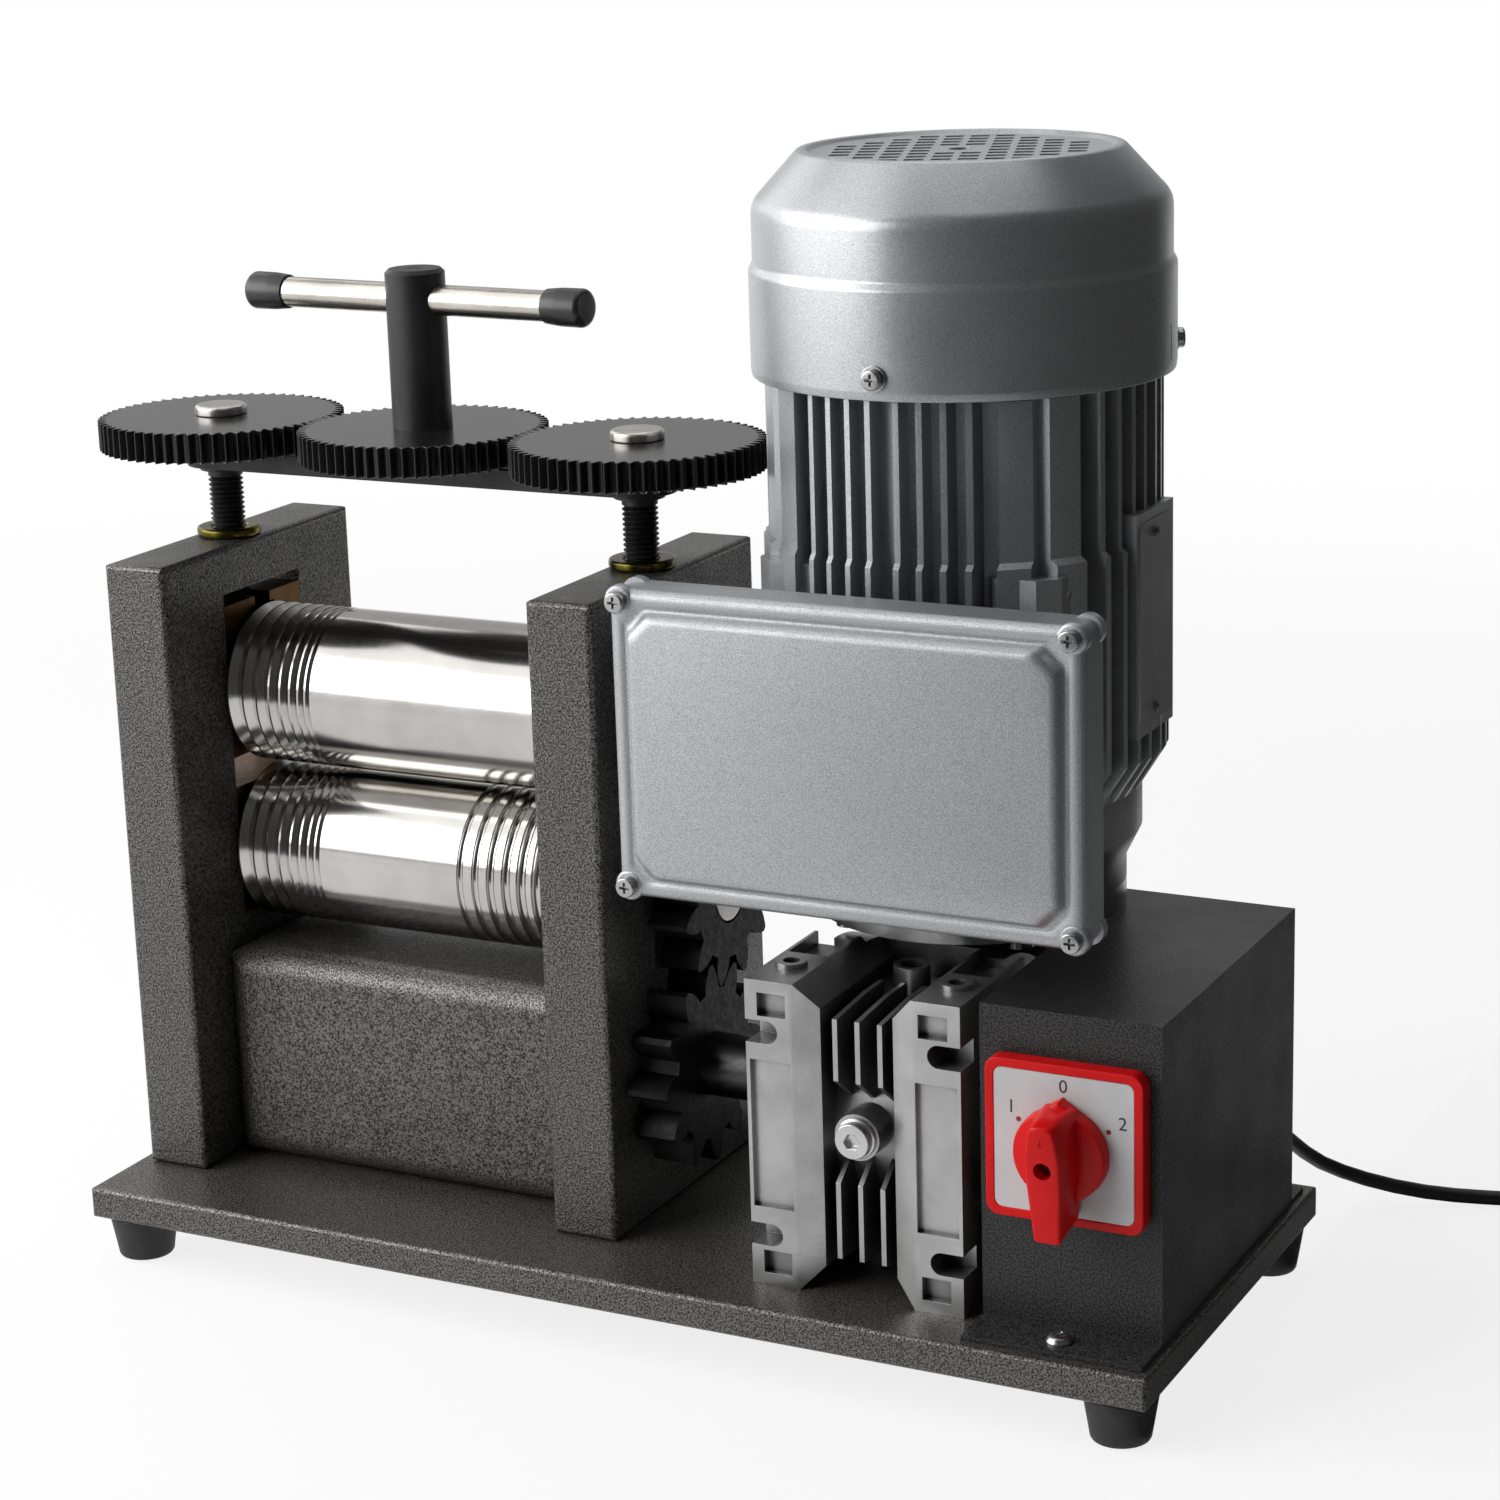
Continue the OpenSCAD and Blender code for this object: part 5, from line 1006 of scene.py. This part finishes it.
# A thin black disc in each eye paints the shade of its hole.
hole_shade_outline = [(0, -0.3), (HOLE_R + 0.3, -0.3), (HOLE_R + 0.3, 0.1), (0, 0.05)]
eyes = bmesh.new()
hole_shades = bmesh.new()
for side in (1, -1):
    for back in (1, -1):
        turn = Matrix.Rotation(math.radians(90 * side), 4, "Z") @ FACE_FRONT
        place = at(motor_mid.x + side * LUG_REACH, motor_mid.y + back * LUG_MID, frame_z + LUG_Z, turn)
        turned(eyes, place, eye_outline, closed=True, steps=40)
        turned(hole_shades, place, hole_shade_outline, steps=24)
piece("lug_eyes", to_mesh(eyes, "lug_eyes"), "machine", shade_silver)
piece("lug_hole_shade", to_mesh(hole_shades, "lug_hole_shade"), "machine", print_and_shade_black)

# Rubber caps on the handle bar, which swell from the bar and end in a rounded face
CAP_LEN = 18.0
CAP_R = 7.5
CAP_BORE = 6.05
CAP_BITE = 13.0
BAR_TURN = -4.0
BAR_HALF = 75.0
bar_mid = node_box("bar_caps")[2]
bore_end = CAP_BITE + 0.1
cap_outline = rounded([(CAP_BORE, 0, 0), (6.7, 0, 0.25), (CAP_R - 0.15, 6.5, 9), (CAP_R, CAP_LEN, 2.6),
                       (0, CAP_LEN, 0), (0, bore_end, 0), (CAP_BORE, bore_end, 0)])
along = Matrix.Rotation(math.radians(90), 4, "Y")
caps = bmesh.new()
for end in (0, 180):
    turn = Matrix.Rotation(math.radians(BAR_TURN + end), 4, "Z")
    place = at(bar_mid.x, bar_mid.y, bar_mid.z, turn) @ at(BAR_HALF - CAP_BITE, 0, 0, along)
    turned(caps, place, cap_outline, closed=True)
piece("bar_ends", to_mesh(caps, "bar_ends"), "handle", cap_rubber, ["bar_caps"])

# Strain relief: a hexagon nut and a ringed taper
GLAND_NUT_H = 6.0
GLAND_NUT_R = 11.0
GLAND_NUT_EDGE = 0.7
GLAND_R = 8.0
GLAND_TIP_R = 4.4
GLAND_TAPER = 20.0
GLAND_RINGS = 6
GLAND_GROOVE = 1.0
_, gland_high, gland_mid = node_box("cable_gland")
gland_end = GLAND_NUT_H + GLAND_TAPER
gland_back = gland_high.y - GLAND_TAPER - GLAND_NUT_H
gland_place = at(gland_mid.x, gland_back, gland_mid.z, Matrix.Rotation(math.radians(-90), 4, "X"))
nut_angles = [TAU * i / 6 for i in range(6)]
hexagon = [Vector((GLAND_NUT_R * math.cos(a), GLAND_NUT_R * math.sin(a))) for a in nut_angles]
gland_form = bmesh.new()
slab(gland_form, gland_place, hexagon, 0.0, GLAND_NUT_H, GLAND_NUT_EDGE)
ring_w = GLAND_TAPER / GLAND_RINGS
taper = [(0, GLAND_NUT_H - 0.5), (GLAND_R, GLAND_NUT_H - 0.5)]
for i in range(GLAND_RINGS):
    start = GLAND_NUT_H + GLAND_TAPER * i / GLAND_RINGS
    radius = GLAND_R + (GLAND_TIP_R - GLAND_R) * i / GLAND_RINGS
    taper += [(radius, start + 0.1 * ring_w), (radius, start + 0.6 * ring_w),
              (radius - GLAND_GROOVE, start + 0.7 * ring_w), (radius - GLAND_GROOVE, start + ring_w)]
taper += [(CORD_D / 2, gland_end), (0, gland_end)]
turned(gland_form, gland_place, taper)
piece("cord_relief", to_mesh(gland_form, "cord_relief"), "machine", black_plastic,
      ["cable_gland"])


# Floor and light, in metres
def matte(name, value):
    """A dull grey surface of the stage."""
    material, tree, bsdf = new_material(name)
    bsdf.inputs["Base Color"].default_value = (*grey(value), 1)
    bsdf.inputs["Roughness"].default_value = 0.9
    return material, tree, bsdf


def staged(name, form, material, in_sight=True):
    """Puts a form on the stage, where one out of the cameras' sight casts no shadow either."""
    item = bpy.data.objects.new(name, to_mesh(form, name))
    item.data.materials.append(material)
    bpy.context.scene.collection.objects.link(item)
    item.visible_camera = in_sight
    item.visible_shadow = in_sight
    item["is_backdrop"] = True


def level_sheet(low, high, z):
    """A level rectangle between two corners."""
    form = bmesh.new()
    corners = [(low[0], low[1]), (high[0], low[1]), (high[0], high[1]), (low[0], high[1])]
    form.faces.new([form.verts.new((x, y, z)) for x, y in corners])
    return form


def upright_wall(radius, height, angles):
    """A wall that stands on the floor along an arc."""
    form = bmesh.new()
    foot = [(radius * math.cos(a), radius * math.sin(a)) for a in angles]
    rows = [[form.verts.new((x, y, z)) for x, y in foot] for z in (0, height)]
    for i in range(len(foot) - 1):
        form.faces.new((rows[0][i], rows[0][i + 1], rows[1][i + 1], rows[1][i]))
    return form


def math_node(tree, operation, first, second):
    node = tree.nodes.new("ShaderNodeMath")
    node.operation = operation
    tree.links.new(first, node.inputs[0])
    tree.links.new(second, node.inputs[1])
    return node.outputs[0]


def floor():
    """A white floor that keeps a share of its shading near the machine, and a low white wall far off."""
    half = 20.0
    drop = -0.0002
    wall_r = 19.0
    wall_h = 1.4
    wall_steps = 64
    near = 0.35
    far = 1.9
    near_white = 0.82
    material, tree, bsdf = matte("floor_white", 0.85)
    glow = shader(tree, "ShaderNodeEmission", Color=(*grey(1.0), 1), Strength=1.0)
    path = tree.nodes.new("ShaderNodeLightPath").outputs
    seen = math_node(tree, "MAXIMUM", path["Is Camera Ray"], path["Is Glossy Ray"])
    seen = math_node(tree, "MAXIMUM", seen, path["Is Transmission Ray"])
    geometry = tree.nodes.new("ShaderNodeNewGeometry")
    reach = tree.nodes.new("ShaderNodeVectorMath")
    reach.operation = "LENGTH"
    tree.links.new(geometry.outputs["Position"], reach.inputs[0])
    white = spread(tree, reach.outputs["Value"], near_white, 1.0, near, far, "SMOOTHERSTEP")
    mix = tree.nodes.new("ShaderNodeMixShader")
    tree.links.new(math_node(tree, "MULTIPLY", seen, white), mix.inputs["Fac"])
    tree.links.new(bsdf.outputs["BSDF"], mix.inputs[1])
    tree.links.new(glow.outputs["Emission"], mix.inputs[2])
    tree.links.new(mix.outputs["Shader"], tree.nodes["Material Output"].inputs["Surface"])
    staged("floor", level_sheet((-half, -half), (half, half), drop), material)
    angles = [TAU * i / wall_steps for i in range(wall_steps + 1)]
    staged("backdrop", upright_wall(wall_r, wall_h, angles), material)


def world():
    """Studio light with a soft glow low at the back left, which level tops mirror, and dim elsewhere."""
    glow_way = (-0.46, 0.86, 0.22)
    glow_start = 0.35
    glow_end = 0.9
    dim = 0.02
    bright = 0.50
    scene_world = bpy.data.worlds.new("studio")
    bpy.context.scene.world = scene_world
    scene_world.use_nodes = True
    tree = scene_world.node_tree
    background = tree.nodes["Background"]
    background.inputs["Color"].default_value = (*grey(1.0), 1)
    coordinates = tree.nodes.new("ShaderNodeTexCoord")
    facing = tree.nodes.new("ShaderNodeVectorMath")
    facing.operation = "DOT_PRODUCT"
    tree.links.new(coordinates.outputs["Generated"], facing.inputs[0])
    facing.inputs[1].default_value = glow_way
    glow = spread(tree, facing.outputs["Value"], dim, bright, glow_start, glow_end)
    tree.links.new(glow, background.inputs["Strength"])


def dark_card():
    """A dark card round the front and right, out of the cameras' sight, that shades the metal there."""
    radius = 0.75
    height = 0.9
    first = -98
    last = 65
    steps = 40
    angles = [math.radians(first + (last - first) * i / steps) for i in range(steps + 1)]
    staged("dark_card", upright_wall(radius, height, angles), matte("card_grey", 0.05)[0], False)


def floor_card():
    """A grey sheet on the floor at the right, out of the cameras' sight, that dims what the sides mirror."""
    low = (0.24, -0.30)
    high = (0.85, 1.15)
    lift = 0.0004
    staged("floor_card", level_sheet(low, high, lift), matte("mat_grey", 0.45)[0], False)


def softbox(name, place, aim, size, power):
    light = bpy.data.lights.new(name, "AREA")
    light.shape = "RECTANGLE"
    light.size, light.size_y = size
    light.energy = power
    lamp = bpy.data.objects.new(name, light)
    lamp.location = place
    lamp.rotation_mode = "QUATERNION"
    lamp.rotation_quaternion = (Vector(aim) - Vector(place)).to_track_quat("-Z", "Y")
    bpy.context.scene.collection.objects.link(lamp)


floor()
world()
softbox("key", place=(-1.15, -0.85, 0.84), aim=(0, 0, 0.22), size=(1.9, 1.0), power=31.0)
softbox("upper", place=(-0.70, -0.42, 1.45), aim=(0, 0, 0.2), size=(1.2, 0.8), power=5.0)
softbox("left", place=(-1.25, 0.50, 0.95), aim=(0, 0, 0.3), size=(0.9, 0.9), power=3.5)
softbox("top", place=(0.05, 0.10, 1.70), aim=(0, 0, 0.2), size=(1.4, 1.0), power=4.5)
softbox("back", place=(-0.25, 0.95, 1.55), aim=(0, 0, 0.25), size=(1.2, 0.8), power=2.6)
dark_card()
floor_card()
bpy.context.scene.view_settings.view_transform = "Standard"

low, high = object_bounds()
